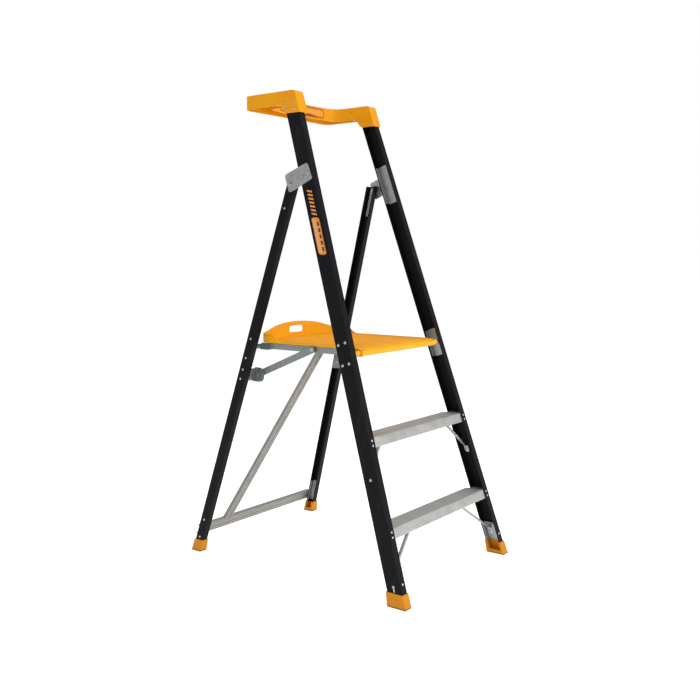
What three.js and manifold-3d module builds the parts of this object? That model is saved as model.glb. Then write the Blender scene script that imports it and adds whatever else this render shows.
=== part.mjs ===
// Fibreglass platform step ladder with a guard-rail cap, in millimetres, +Z up.
// The origin is on the floor under the middle of the four feet. The climber faces +Y,
// so the treads are at -Y, the rear legs at +Y, and left is -X.
import * as THREE from 'three';
import { mergeVertices } from 'three/addons/utils/BufferGeometryUtils.js';
import Module from 'manifold-3d';

const wasm = await Module();
wasm.setup();

// ---- driving dimensions -------------------------------------------------------------

const LEFT = -1;
const RIGHT = 1;
const GAP = 0.3; // clearance between pieces that touch on the real ladder
const FOOT_REACH = 534; // from the origin to the front and back ends of the feet

// A stile is a leaning channel: the web faces outwards, the flanges point inwards.
// outerX and frontY are the web's and the front flange's places at floor level,
// narrowing and lean are how far they move for each millimetre of height.
const FRONT = {
  outerX: 372.2, narrowing: 0.0679, frontY: -530.8, lean: 0.3224,
  depth: 64.4, flange: 30.5, wall: 4, foot: 13, top: 1812,
};
const REAR = {
  outerX: 372, narrowing: 0.0736, frontY: 490.3, lean: -0.29864,
  depth: 40.5, flange: 27.1, wall: 3.6, foot: 13, top: 1500,
};

const TREAD_TOPS = { lower: 261.5, upper: 570 };
const TREAD = { depth: 78, plate: 3, skirt: 34.7, skirtWall: 2.6, rearSkirt: 24 };
const STRUT = { width: 20, plate: 3, from: 30 };
const STRUT_FEET = { lower: 86, upper: 418 };
const STRUT_REACH = { lower: 216, upper: 132 };

const HINGE = { y: 65, z: 1480, pinRadius: 5 };
const HINGE_RIVETS = [[-24.4, 1513.5], [5.1, 1504.1]];

const DECK = { top: 876, half: 248, nose: -256, rear: 262, cornerRadius: 50 };
const KICKBOARD = { wall: 4, end: 906, middle: 939.5, bow: 18, shoulder: 226, swell: 190, crest: 150 };
const HAND_HOLE = { width: 86, low: 894, high: 921, radius: 9 };
const RAIL = { outer: 247, width: 20, low: 847, high: 871.3, wall: 2.5, rear: 212 };
const PLATFORM_PIVOT = { y: -238, z: 860, radius: 6 };

const ARM = { inner: 251.5, outer: 255.5, width: 26 };
const ARM_FOOT = { y: 256, z: 743 };
const ARM_HEAD_Z = 858.5;

const CAP = {
  outer: 258, inner: 209, rear: 313, top: 1826, low: 1775, blockLow: 1743, wall: 4,
  front: -5, blockRear: 78, outerRadius: 32, innerRadius: 52, bowMiddle: 241, bowEnd: 224,
};

const SHOE = { frontTop: 49.5, rearTop: 48, soleTop: 4.5, liner: 2.6 };
const LOWER_BRACE = { half: 352, z: 79, width: 38, depth: 19 };
const DIAGONAL_BRACE = { from: { x: -209.6, z: 60 }, to: { x: 283, z: 955 }, width: 38, depth: 15 };
const SHOE_POCKETS = { backs: [22.8, 52.5], z: 32, radius: 3.4, floor: 2.1 };

// ---- angles worked out from the driving dimensions ------------------------------------

const frontLean = Math.atan(FRONT.lean);
const rearLean = Math.atan(-REAR.lean);
const foldAngle = frontLean + rearLean;
const deckFoldAngle = Math.PI / 2 - frontLean;

/** Turns the point (y, z) about a centre, anticlockwise seen from +X. */
function turned(point, centre, angle) {
  const offset = new THREE.Vector2(point.y - centre.y, point.z - centre.z);
  offset.rotateAround(new THREE.Vector2(), angle);
  return { y: centre.y + offset.x, z: centre.z + offset.y };
}

/** How much too long the arm is at the folded end when its head sits at height y. */
function closureError(headY) {
  const head = { y: headY, z: ARM_HEAD_Z };
  const openLength = Math.hypot(head.y - ARM_FOOT.y, head.z - ARM_FOOT.z);
  const foldedFoot = turned(ARM_FOOT, HINGE, -foldAngle);
  const foldedHead = turned(head, PLATFORM_PIVOT, deckFoldAngle);
  return openLength - Math.hypot(foldedHead.y - foldedFoot.y, foldedHead.z - foldedFoot.z);
}

/** The arm's upper pivot, placed so that the linkage closes both open and folded. */
function solveArmHead() {
  let low = -150;
  let high = 100;
  for (let step = 0; step < 40; step += 1) {
    const middle = (low + high) / 2;
    if (closureError(low) * closureError(middle) <= 0) high = middle;
    else low = middle;
  }
  return { y: (low + high) / 2, z: ARM_HEAD_Z };
}

const ARM_HEAD = solveArmHead();

// ---- finishes ---------------------------------------------------------------------------

const FINISHES = {
  fibreglass: { color: 0x1d1c20, roughness: 0.45, metalness: 0 },
  yellowPlastic: { color: 0xeda41c, roughness: 0.45, metalness: 0 },
  millAluminium: { color: 0xb9b7b1, roughness: 0.4, metalness: 0.9 },
  galvanised: { color: 0x8f9491, roughness: 0.5, metalness: 0.8 },
  zincPlated: { color: 0xc4c6c6, roughness: 0.3, metalness: 0.9 },
  greyRubber: { color: 0x55534e, roughness: 0.9, metalness: 0 },
  nylon: { color: 0x26262a, roughness: 0.6, metalness: 0 },
};

/** A named mesh with a material of its own. */
function piece(name, finish, geometry) {
  const mesh = new THREE.Mesh(geometry, new THREE.MeshStandardMaterial(FINISHES[finish]));
  mesh.name = name;
  return mesh;
}

const sideName = (side) => (side === LEFT ? 'left' : 'right');

// ---- solids: placing, cutting and joining ------------------------------------------------

/** Applies a matrix, and turns the faces back when the matrix mirrors them. */
function placed(geometry, matrix) {
  const merged = bare(geometry);
  merged.applyMatrix4(matrix);
  if (matrix.determinant() < 0) {
    const corners = merged.getIndex().array;
    for (let i = 0; i < corners.length; i += 3) {
      [corners[i], corners[i + 1]] = [corners[i + 1], corners[i]];
    }
  }
  return merged;
}

/** A copy that holds only merged positions. */
function bare(geometry) {
  const copy = geometry.clone();
  copy.deleteAttribute('normal');
  copy.deleteAttribute('uv');
  return mergeVertices(copy, 1e-4);
}

function solidOf(geometry) {
  const merged = bare(geometry);
  return new wasm.Manifold(new wasm.Mesh({
    numProp: 3,
    vertProperties: new Float32Array(merged.getAttribute('position').array),
    triVerts: new Uint32Array(merged.getIndex().array),
  }));
}

function geometryOf(solid) {
  const mesh = solid.getMesh();
  const geometry = new THREE.BufferGeometry();
  geometry.setAttribute('position', new THREE.BufferAttribute(mesh.vertProperties, 3));
  geometry.setIndex(new THREE.BufferAttribute(mesh.triVerts, 1));
  return geometry;
}

function cut(geometry, ...tools) {
  const solid = tools.reduce((body, tool) => body.subtract(solidOf(tool)), solidOf(geometry));
  return geometryOf(solid);
}

function join(geometry, ...others) {
  const solid = others.reduce((body, other) => body.add(solidOf(other)), solidOf(geometry));
  return geometryOf(solid);
}

// ---- outlines ----------------------------------------------------------------------------

/** A closed outline whose corners are rounded; each point may carry its own radius. */
function outline(points, radius = 0) {
  const shape = new THREE.Shape();
  const count = points.length;
  points.forEach((point, i) => {
    const corner = new THREE.Vector2(point[0], point[1]);
    const before = new THREE.Vector2(...points[(i + count - 1) % count]);
    const after = new THREE.Vector2(...points[(i + 1) % count]);
    const bend = point[2] ?? radius;
    const from = corner.clone().add(before.sub(corner).setLength(bend));
    const to = corner.clone().add(after.sub(corner).setLength(bend));
    if (i === 0) shape.moveTo(from.x, from.y);
    else shape.lineTo(from.x, from.y);
    if (bend > 0) shape.quadraticCurveTo(corner.x, corner.y, to.x, to.y);
  });
  shape.closePath();
  return shape;
}

function rectangle(x0, y0, x1, y1, radius = 0) {
  return outline([[x0, y0], [x1, y0], [x1, y1], [x0, y1]], radius);
}

function prism(shape, depth, curveSegments = 5) {
  return new THREE.ExtrudeGeometry(shape, { depth, bevelEnabled: false, curveSegments });
}

/** The channel section of a stile: across from the web, and back from the front edge. */
function channelSection({ depth, flange, wall }) {
  return outline([
    [0, 0, 2.5], [flange, 0, 1.2], [flange, wall, 1.2], [wall, wall, 2],
    [wall, depth - wall, 2], [flange, depth - wall, 1.2], [flange, depth, 1.2], [0, depth, 2.5],
  ]);
}

// ---- the leaning frame of a stile ----------------------------------------------------------

const webX = (stile, z) => stile.outerX - stile.narrowing * z;
const frontY = (stile, z) => stile.frontY + stile.lean * z;
const onStile = (stile, back, z) => [frontY(stile, z) + back, z];

/** Horizontal outline (inwards, backwards) run up a stile from one height to another. */
function alongStile(stile, side, shape, from, to) {
  const matrix = new THREE.Matrix4().set(
    -side, 0, -side * stile.narrowing, side * webX(stile, from),
    0, 1, stile.lean, frontY(stile, from),
    0, 0, 1, from,
    0, 0, 0, 1,
  );
  return placed(prism(shape, to - from), matrix);
}

/** Plate drawn in (y, z) that lies parallel to a stile's web, inset from its outer face. */
function againstWeb(stile, side, shape, inset, thickness) {
  const matrix = new THREE.Matrix4().set(
    0, -side * stile.narrowing, -side, side * (stile.outerX - inset),
    1, 0, 0, 0,
    0, 1, 0, 0,
    0, 0, 0, 1,
  );
  return placed(prism(shape, thickness), matrix);
}

/** Strip drawn in (inwards, height) that runs back along a stile's depth. */
function acrossStile(stile, side, shape, from, width) {
  const matrix = new THREE.Matrix4().set(
    -side, -side * stile.narrowing, 0, side * stile.outerX,
    0, stile.lean, 1, stile.frontY + from,
    0, 1, 0, 0,
    0, 0, 0, 1,
  );
  return placed(prism(shape, width), matrix);
}

// ---- square-on solids -----------------------------------------------------------------------

/** Outline drawn in (y, z), run from one x to another. */
function acrossX(shape, from, to, curveSegments = 5) {
  const matrix = new THREE.Matrix4().set(
    0, 0, 1, from,
    1, 0, 0, 0,
    0, 1, 0, 0,
    0, 0, 0, 1,
  );
  return placed(prism(shape, to - from, curveSegments), matrix);
}

/** Outline drawn in (x, y), run from one height to another. */
function upZ(shape, from, to, curveSegments = 5) {
  const lift = new THREE.Matrix4().makeTranslation(0, 0, from);
  return placed(prism(shape, to - from, curveSegments), lift);
}

/** The same stretch of x on the left or the right of the ladder, in rising order. */
function span(side, inner, outer) {
  return side === RIGHT ? [inner, outer] : [-outer, -inner];
}

/** A body turned about an axis along X: steps of [radius, distance out from x = 0]. */
function turnedPin(side, { y, z }, steps, segments = 20) {
  const [first] = steps[0].slice(1);
  const last = steps[steps.length - 1][2];
  const profile = [new THREE.Vector2(0, first)];
  steps.forEach(([radius, from, to]) => {
    profile.push(new THREE.Vector2(radius, from), new THREE.Vector2(radius, to));
  });
  profile.push(new THREE.Vector2(0, last));
  const matrix = new THREE.Matrix4().makeTranslation(0, y, z)
    .multiply(new THREE.Matrix4().makeRotationZ(-side * Math.PI / 2));
  return placed(new THREE.LatheGeometry(profile, segments), matrix);
}

function drill(side, centre, radius, from, to) {
  return turnedPin(side, centre, [[radius, from, to]]);
}

// ---- stiles, shoes and soles -----------------------------------------------------------------

function makeStile(name, stile, side, holes) {
  const profile = channelSection(stile);
  const channel = alongStile(stile, side, profile, stile.foot, stile.top);
  const drills = holes.map(({ y, z, radius }) => {
    const x = webX(stile, z);
    return drill(side, { y, z }, radius + GAP, x - stile.wall - 5, x + 5);
  });
  return piece(name, 'fibreglass', cut(channel, ...drills));
}

/** A four-cornered solid that tapers between two levels, in a stile's leaning frame. */
function flaredBlock(stile, side, low, high, from, to) {
  const block = new THREE.BoxGeometry(1, 1, 1);
  const position = block.getAttribute('position');
  for (let i = 0; i < position.count; i += 1) {
    const level = position.getZ(i) > 0 ? high : low;
    const across = position.getX(i) > 0 ? level.inner : -level.outer;
    const back = position.getY(i) > 0 ? stile.depth + level.back : -level.front;
    position.setXYZ(i, across, back, position.getZ(i) > 0 ? to - from : 0);
  }
  const matrix = new THREE.Matrix4().set(
    -side, 0, -side * stile.narrowing, side * webX(stile, from),
    0, 1, stile.lean, frontY(stile, from),
    0, 0, 1, from,
    0, 0, 0, 1,
  );
  return placed(block, matrix);
}

/** How far a shoe stands out from its stile, at the floor and at its upper rim. */
function shoeLevels(stile) {
  const endFace = FOOT_REACH - Math.abs(stile === FRONT ? stile.frontY : stile.frontY + stile.depth);
  const low = stile === FRONT
    ? { outer: 4.7, inner: stile.flange + 3, front: endFace, back: 9 }
    : { outer: 4.9, inner: stile.flange + 3, front: 8, back: endFace };
  const high = { outer: 3, inner: stile.flange + 2.6, front: 3, back: 3 };
  return { low, high };
}

/** A stile's section with clearance all round, for the slot that it stands in. */
function socketSection({ depth, flange, wall }) {
  const inner = wall + GAP;
  return outline([
    [-GAP, -GAP], [flange + GAP, -GAP], [flange + GAP, inner], [inner + 2.5, inner],
    [inner, inner + 2.5], [inner, depth - inner - 2.5], [inner + 2.5, depth - inner],
    [flange + GAP, depth - inner], [flange + GAP, depth + GAP], [-GAP, depth + GAP],
  ]);
}

/** Two shallow round pockets in a front shoe's outer face. */
function shoePockets(side) {
  const { backs, z, radius, floor } = SHOE_POCKETS;
  const face = webX(FRONT, z);
  return backs.map(
    (back) => drill(side, { y: frontY(FRONT, z) + back, z }, radius, face + floor, face + 12),
  );
}

function makeShoe(name, stile, side, rim) {
  const { low, high } = shoeLevels(stile);
  const block = flaredBlock(stile, side, low, high, SHOE.soleTop + GAP, rim);
  const socket = alongStile(stile, side, socketSection(stile), stile.foot - GAP, rim + 5);
  const liner = stile.wall + GAP + SHOE.liner;
  const openSide = rectangle(liner, liner, stile.flange + 20, stile.depth - liner);
  const mouth = alongStile(stile, side, openSide, stile.foot + 3, rim + 5);
  const pockets = stile === FRONT ? shoePockets(side) : [];
  return piece(name, 'yellowPlastic', cut(block, socket, mouth, ...pockets));
}

function makeSole(name, stile, side) {
  const { low } = shoeLevels(stile);
  return piece(name, 'greyRubber', flaredBlock(stile, side, low, low, 0, SHOE.soleTop));
}

// ---- treads and their struts -------------------------------------------------------------------

function makeTread(name, top) {
  const low = top - TREAD.skirt;
  const front = (z) => frontY(FRONT, z) + FRONT.wall + GAP;
  const rear = frontY(FRONT, top) + TREAD.depth;
  const section = outline([
    [front(top), top, 2], [front(low), low],
    [front(low) + TREAD.skirtWall, low],
    [front(top - TREAD.plate) + TREAD.skirtWall, top - TREAD.plate],
    [rear - TREAD.skirtWall, top - TREAD.plate],
    [rear - TREAD.skirtWall, top - TREAD.rearSkirt],
    [rear, top - TREAD.rearSkirt], [rear, top, 2],
  ]);
  const half = webX(FRONT, top) - FRONT.wall - GAP;
  const body = acrossX(section, -half, half);
  const notch = rectangle(-10, FRONT.depth - FRONT.wall - GAP, FRONT.flange + 1.5, FRONT.depth + 40);
  const notches = [LEFT, RIGHT].map(
    (side) => alongStile(FRONT, side, notch, low - 10, top + 10),
  );
  const webClearance = [LEFT, RIGHT].map(
    (side) => alongStile(FRONT, side, rectangle(-20, -20, FRONT.wall + 1.2, 120), low - 10, top + 10),
  );
  return piece(name, 'millAluminium', cut(body, ...notches, ...webClearance));
}

function makeStrut(name, side, foot, top, reach) {
  const start = FRONT.wall + GAP + (foot === STRUT_FEET.lower ? 3 + GAP : 0);
  const under = top - TREAD.plate - GAP;
  const t = STRUT.plate;
  const strip = outline([
    [start, foot - 14], [start + t, foot - 14], [start + t, foot + 12, 1],
    [reach + 1, under - t, 1], [reach + 26, under - t], [reach + 26, under],
    [reach, under, 1], [start, foot + 13, 1],
  ]);
  return piece(name, 'galvanised', acrossStile(FRONT, side, strip, STRUT.from, STRUT.width));
}

/** The steel channel nested in the foot of a front stile, which the lower strut bolts to. */
function makeCornerPlate(side) {
  const inner = FRONT.wall + GAP;
  const back = FRONT.depth - FRONT.wall - GAP;
  const section = outline([
    [inner, 9], [inner + 3, 9], [inner + 3, back - 3, 1], [FRONT.flange - 1, back - 3],
    [FRONT.flange - 1, back], [inner, back, 1],
  ]);
  return piece(`${sideName(side)}_front_corner_plate`, 'galvanised',
    alongStile(FRONT, side, section, SHOE.frontTop + 1, 120));
}

// ---- top cap -----------------------------------------------------------------------------------

/** The cap's U seen from above, drawn at a distance inside its outer skin. */
function capPlan(inset, armFront) {
  const outer = CAP.outer - inset;
  const inner = CAP.inner + inset;
  const rear = CAP.rear - inset;
  const bend = CAP.innerRadius + inset;
  const shape = new THREE.Shape();
  shape.moveTo(outer, armFront);
  shape.lineTo(outer, rear - CAP.outerRadius);
  shape.absarc(outer - CAP.outerRadius, rear - CAP.outerRadius, CAP.outerRadius, 0, Math.PI / 2);
  shape.lineTo(CAP.outerRadius - outer, rear);
  shape.absarc(CAP.outerRadius - outer, rear - CAP.outerRadius, CAP.outerRadius, Math.PI / 2, Math.PI);
  shape.lineTo(-outer, armFront);
  shape.lineTo(-inner, armFront);
  shape.lineTo(-inner, CAP.bowEnd + inset - bend);
  shape.quadraticCurveTo(-inner, CAP.bowEnd + inset, -inner + bend, CAP.bowEnd + inset + 6);
  shape.quadraticCurveTo(0, CAP.bowMiddle + inset + 10, inner - bend, CAP.bowEnd + inset + 6);
  shape.quadraticCurveTo(inner, CAP.bowEnd + inset, inner, CAP.bowEnd + inset - bend);
  shape.lineTo(inner, armFront);
  shape.closePath();
  return shape;
}

/** Block that closes an arm's front end around the stile's top. */
function capBlock(side) {
  const shape = outline([
    [...onStile(FRONT, CAP.front, CAP.top), 11],
    [...onStile(FRONT, CAP.front, CAP.blockLow), 5],
    [...onStile(FRONT, CAP.blockRear - 15, CAP.blockLow), 9],
    [...onStile(FRONT, CAP.blockRear - 3, CAP.low - 5), 9],
    [...onStile(FRONT, CAP.blockRear + 10, CAP.low + 1), 3],
    [...onStile(FRONT, CAP.blockRear, CAP.top), 0],
  ]);
  return acrossX(shape, ...span(side, CAP.inner, CAP.outer));
}

function makeCap() {
  const armFront = frontY(FRONT, CAP.top) + 40;
  const skin = upZ(capPlan(0, armFront), CAP.low, CAP.top, 8);
  const hollow = upZ(capPlan(CAP.wall, frontY(FRONT, CAP.top) + CAP.blockRear + CAP.wall),
    CAP.low - 5, CAP.top - CAP.wall, 8);
  const blocks = [LEFT, RIGHT].map(capBlock);
  const pocket = rectangle(-GAP, -GAP, FRONT.flange + GAP, FRONT.depth + GAP);
  const pockets = [LEFT, RIGHT].map(
    (side) => alongStile(FRONT, side, pocket, CAP.blockLow - 5, FRONT.top + GAP),
  );
  return piece('top_cap', 'yellowPlastic', cut(join(skin, ...blocks), hollow, ...pockets));
}

// ---- hinges ------------------------------------------------------------------------------------

function makeHingePlate(side) {
  const shape = outline([[91, 1514], [-18, 1555], [-45, 1494], [65, 1446]], 11);
  const plate = againstWeb(FRONT, side, shape, -3 - GAP, 3);
  const x = webX(FRONT, HINGE.z);
  const holes = [HINGE, ...HINGE_RIVETS.map(([y, z]) => ({ y, z }))].map(
    (centre, i) => drill(side, centre, (i === 0 ? HINGE.pinRadius : 4) + GAP, x - 20, x + 20),
  );
  return piece(`${sideName(side)}_hinge_plate`, 'galvanised', cut(plate, ...holes));
}

/** The part of a liner plate that turns in along a front stile's rear flange. */
function linerFlange(side, reach, from, to) {
  const web = FRONT.wall + GAP;
  const back = FRONT.depth - FRONT.wall - GAP;
  const section = outline([
    [web + 0.5, back - 8], [web + 0.5, back - 2.4], [web + 2.9, back], [reach, back],
    [reach, back - 3], [web + 2.6, back - 3], [web + 2.6, back - 8],
  ]);
  return alongStile(FRONT, side, section, from, to);
}

function makeBackingPlate(side) {
  const shape = outline([
    onStile(FRONT, 6, 1439), onStile(FRONT, 57, 1423.6),
    onStile(FRONT, 57, 1575.6), onStile(FRONT, 6, 1591),
  ], 3);
  const flange = linerFlange(side, 28, 1426, 1573);
  const plate = join(againstWeb(FRONT, side, shape, FRONT.wall + GAP, 3), flange);
  const x = webX(FRONT, HINGE.z);
  const holes = HINGE_RIVETS.map(([y, z]) => drill(side, { y, z }, 4 + GAP, x - 20, x + 20));
  return piece(`${sideName(side)}_hinge_backing_plate`, 'galvanised', cut(plate, ...holes));
}

function makeHingeSpacer(side) {
  const outer = webX(FRONT, HINGE.z) - 1.3;
  const inner = webX(REAR, HINGE.z) + 1.4;
  const ring = drill(side, HINGE, 13, inner, outer);
  const bore = drill(side, HINGE, HINGE.pinRadius + GAP, inner - 5, outer + 5);
  return piece(`${sideName(side)}_hinge_spacer`, 'nylon', cut(ring, bore));
}

function makeHingePin(side) {
  const plateFace = webX(FRONT, HINGE.z) + 3 + 1.6;
  const inside = webX(REAR, HINGE.z) - REAR.wall - 5.4;
  return piece(`${sideName(side)}_hinge_pin`, 'zincPlated', turnedPin(side, HINGE, [
    [8, inside - 5, inside], [HINGE.pinRadius, inside, plateFace],
    [9, plateFace, plateFace + 1.6], [6.5, plateFace + 1.6, plateFace + 4],
  ]));
}

function makeHingeRivet(name, side, [y, z]) {
  const plateFace = webX(FRONT, z) + 3 + 1;
  const inside = webX(FRONT, z) - FRONT.wall - 3 - 1;
  return piece(name, 'zincPlated', turnedPin(side, { y, z }, [
    [5.5, inside - 2.5, inside - 0.2], [4, inside - 0.2, plateFace],
    [6.5, plateFace, plateFace + 1.4], [4.5, plateFace + 1.4, plateFace + 2.6],
  ]));
}

/** The strap inside a rear stile's top, from the hinge pin down to its own rivet. */
function makeRearStrap(side) {
  const shape = outline([
    onStile(REAR, 10, 1496), onStile(REAR, 10, 1378),
    onStile(REAR, 30, 1378), onStile(REAR, 30, 1496),
  ], 7);
  const strap = againstWeb(REAR, side, shape, REAR.wall + GAP, 2.5);
  const x = webX(REAR, HINGE.z);
  return piece(`${sideName(side)}_rear_stile_strap`, 'galvanised',
    cut(strap, drill(side, HINGE, HINGE.pinRadius + GAP, x - 20, x + 20)));
}

// ---- platform ------------------------------------------------------------------------------------

/** Plan of the deck behind its nose, set in from the deck's edge. */
function deckPlan(inset, front) {
  const half = DECK.half - inset;
  const radius = DECK.cornerRadius - inset;
  const corner = DECK.rear - inset - radius;
  const shape = new THREE.Shape();
  shape.moveTo(half, front);
  shape.lineTo(half, corner);
  shape.absarc(half - radius, corner, radius, 0, Math.PI / 2);
  shape.quadraticCurveTo(0, DECK.rear - inset + 2 * KICKBOARD.bow, radius - half, DECK.rear - inset);
  shape.absarc(radius - half, corner, radius, Math.PI / 2, Math.PI);
  shape.lineTo(-half, front);
  shape.closePath();
  return shape;
}

/** Side view of the upstand: high along the kickboard, falling away along each side. */
function upstandProfile() {
  const shape = new THREE.Shape();
  shape.moveTo(132, DECK.top - 20);
  shape.lineTo(132, DECK.top - 1);
  shape.bezierCurveTo(165, DECK.top, 175, DECK.top + 30, 205, DECK.top + 33);
  shape.lineTo(400, DECK.top + 33);
  shape.lineTo(400, DECK.top - 20);
  shape.closePath();
  return shape;
}

/** Front view of the kickboard's crown, drawn in (x, z). */
function crownCutter() {
  const shape = new THREE.Shape();
  const half = DECK.half + 40;
  const { end, middle, shoulder, swell, crest } = KICKBOARD;
  shape.moveTo(-half, DECK.top - 40);
  shape.lineTo(half, DECK.top - 40);
  shape.lineTo(half, end);
  shape.lineTo(shoulder, end);
  shape.bezierCurveTo(swell, end, crest, middle, 0, middle);
  shape.bezierCurveTo(-crest, middle, -swell, end, -shoulder, end);
  shape.lineTo(-half, end);
  shape.closePath();
  return alongY(shape, 100, 400);
}

/** Outline drawn in (x, z), run from one y to another. */
function alongY(shape, from, to, curveSegments = 8) {
  const matrix = new THREE.Matrix4().set(
    1, 0, 0, 0,
    0, 0, 1, from,
    0, 1, 0, 0,
    0, 0, 0, 1,
  );
  return placed(prism(shape, to - from, curveSegments), matrix);
}

function makeDeck() {
  const noseCentre = PLATFORM_PIVOT;
  const slabFront = noseCentre.y;
  const slab = upZ(deckPlan(0, slabFront), RAIL.high + GAP, DECK.top, 6);
  const ring = cut(
    upZ(deckPlan(0, 100), RAIL.high + GAP, KICKBOARD.middle + 10, 6),
    upZ(deckPlan(KICKBOARD.wall, 50), DECK.top - 1, KICKBOARD.middle + 20, 6),
  );
  const wings = acrossX(upstandProfile(), -DECK.half - 10, DECK.half + 10, 6);
  const backOnly = upZ(rectangle(-300, DECK.rear - DECK.cornerRadius - 6, 300, 400), 800, 1000);
  const upstand = solidOf(ring).intersect(solidOf(crownCutter()))
    .intersect(solidOf(wings).add(solidOf(backOnly)));
  const nose = acrossX(noseSection(), -DECK.half, DECK.half, 6);
  const earRadius = PLATFORM_PIVOT.radius + 3.5;
  const ears = [LEFT, RIGHT].map(
    (side) => drill(side, noseCentre, earRadius, DECK.half - 5, DECK.half + 30),
  );
  const rodHole = acrossX(circle(noseCentre, PLATFORM_PIVOT.radius + GAP), -400, 400, 10);
  const handHole = alongY(
    rectangle(-HAND_HOLE.width / 2, HAND_HOLE.low, HAND_HOLE.width / 2, HAND_HOLE.high, HAND_HOLE.radius),
    200, 320,
  );
  const body = join(join(slab, nose, ...ears), geometryOf(upstand));
  const railSlots = [LEFT, RIGHT].map((side) => {
    const [from, to] = span(side, RAIL.outer - RAIL.width - GAP, RAIL.outer + GAP);
    return acrossX(rectangle(noseCentre.y - 13, RAIL.low - 10, RAIL.rear, RAIL.high + GAP), from, to);
  });
  return piece('platform_deck', 'yellowPlastic', cut(body, rodHole, handHole, ...railSlots));
}

function circle({ y, z }, radius) {
  const shape = new THREE.Shape();
  shape.absarc(y, z, radius, 0, 2 * Math.PI);
  return shape;
}

/** Section of the deck's rounded nose, wrapped round the pivot rod. */
function noseSection() {
  const { y, z } = PLATFORM_PIVOT;
  const shape = new THREE.Shape();
  shape.moveTo(y + 14, DECK.top);
  shape.quadraticCurveTo(DECK.nose, DECK.top, DECK.nose, z);
  shape.quadraticCurveTo(DECK.nose, z - 13, y, z - 13);
  shape.lineTo(y + 14, z - 13);
  shape.closePath();
  return shape;
}

function makeRail(side) {
  const [from, to] = span(side, RAIL.outer - RAIL.width, RAIL.outer);
  const front = PLATFORM_PIVOT.y - 11;
  const outer = rectangle(from, RAIL.low, to, RAIL.high, 2);
  const inner = rectangle(from + RAIL.wall, RAIL.low + RAIL.wall, to - RAIL.wall, RAIL.high - RAIL.wall);
  outer.holes.push(inner);
  const tube = alongY(outer, front, RAIL.rear - GAP, 3);
  const rodHole = drill(side, PLATFORM_PIVOT, PLATFORM_PIVOT.radius + GAP, 200, 280);
  return piece(`${sideName(side)}_platform_rail`, 'galvanised', cut(tube, rodHole));
}

/** Cross tube that joins the two rails under the deck. */
function makeCrossBar(name, y) {
  const half = RAIL.outer - RAIL.width - GAP;
  const outer = rectangle(y - 10, RAIL.low + 1, y + 10, RAIL.high - 1, 1.5);
  outer.holes.push(rectangle(y - 8, RAIL.low + 3, y + 8, RAIL.high - 3));
  return piece(name, 'galvanised', acrossX(outer, -half, half, 3));
}

function makePivotRod() {
  const reach = webX(FRONT, PLATFORM_PIVOT.z) - FRONT.wall - GAP - 3 - 1;
  return piece('platform_pivot_rod', 'zincPlated',
    acrossX(circle(PLATFORM_PIVOT, PLATFORM_PIVOT.radius), -reach, reach, 10));
}

/** Plate riveted inside a front stile, which carries one end of the pivot rod. */
function makePlatformBracket(side) {
  const shape = outline([
    onStile(FRONT, 8, 810), onStile(FRONT, 57, 794.6),
    onStile(FRONT, 57, 902.6), onStile(FRONT, 8, 918),
  ], 4);
  const flange = linerFlange(side, 24, 798, 899);
  const plate = join(againstWeb(FRONT, side, shape, FRONT.wall + GAP, 3), flange);
  const face = webX(FRONT, PLATFORM_PIVOT.z) - FRONT.wall - GAP - 3;
  const sleeve = drill(side, PLATFORM_PIVOT, PLATFORM_PIVOT.radius + 3, face - 18, face + 1);
  const bore = drill(side, PLATFORM_PIVOT, PLATFORM_PIVOT.radius + GAP, face - 20, face - 0.6);
  return piece(`${sideName(side)}_platform_bracket`, 'galvanised', cut(join(plate, sleeve), bore));
}

// ---- rear frame --------------------------------------------------------------------------------

/** Ribbed aluminium section: a shallow channel that opens to the rear. */
function braceSection(width, depth) {
  return outline([
    [0, 0, 1.5], [0, depth, 0.5], [2.4, depth], [2.4, 2.4],
    [width - 2.4, 2.4], [width - 2.4, depth], [width, depth, 0.5], [width, 0, 1.5],
  ]);
}

/** Section run along a line on the back of the rear stiles, between two points given as (x, z). */
function onRearStiles(section, from, to, width) {
  const along = new THREE.Vector3(to.x - from.x, (to.z - from.z) * REAR.lean, to.z - from.z);
  const outwards = new THREE.Vector3(0, 1, -REAR.lean).normalize();
  const length = along.length();
  along.normalize();
  const across = new THREE.Vector3().crossVectors(outwards, along).normalize();
  const start = new THREE.Vector3(
    from.x, frontY(REAR, from.z) + REAR.depth + GAP, from.z,
  ).addScaledVector(across, -width / 2);
  const matrix = new THREE.Matrix4().makeBasis(across, outwards, along).setPosition(start);
  return placed(prism(section, length), matrix);
}

function makeLowerBrace() {
  const { half, z, width, depth } = LOWER_BRACE;
  return piece('lower_rear_brace', 'millAluminium',
    onRearStiles(braceSection(width, depth), { x: -half, z }, { x: half, z }, width));
}

/** The diagonal brace, with its lower end mitred to stand on the lower brace. */
function makeDiagonalBrace() {
  const { from, to, width, depth } = DIAGONAL_BRACE;
  const bar = onRearStiles(braceSection(width, depth), from, to, width);
  const { half, z, width: seat } = LOWER_BRACE;
  const below = onRearStiles(rectangle(-GAP, -20, seat + 80, 60), { x: -half, z }, { x: half, z }, seat);
  return piece('diagonal_rear_brace', 'millAluminium', cut(bar, below));
}
/** Angle riveted inside a rear stile's foot, with a tongue out to the lower brace. */
function makeFootBracket(side) {
  const inner = REAR.wall + GAP;
  const back = REAR.depth - REAR.wall - GAP;
  const section = outline([
    [inner, 7], [inner + 2.5, 7], [inner + 2.5, back - 2.5, 1],
    [REAR.flange - 1, back - 2.5], [REAR.flange - 1, back], [inner, back, 1],
  ]);
  return piece(`${sideName(side)}_rear_foot_bracket`, 'galvanised',
    alongStile(REAR, side, section, SHOE.rearTop + 1, 150));
}

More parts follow.
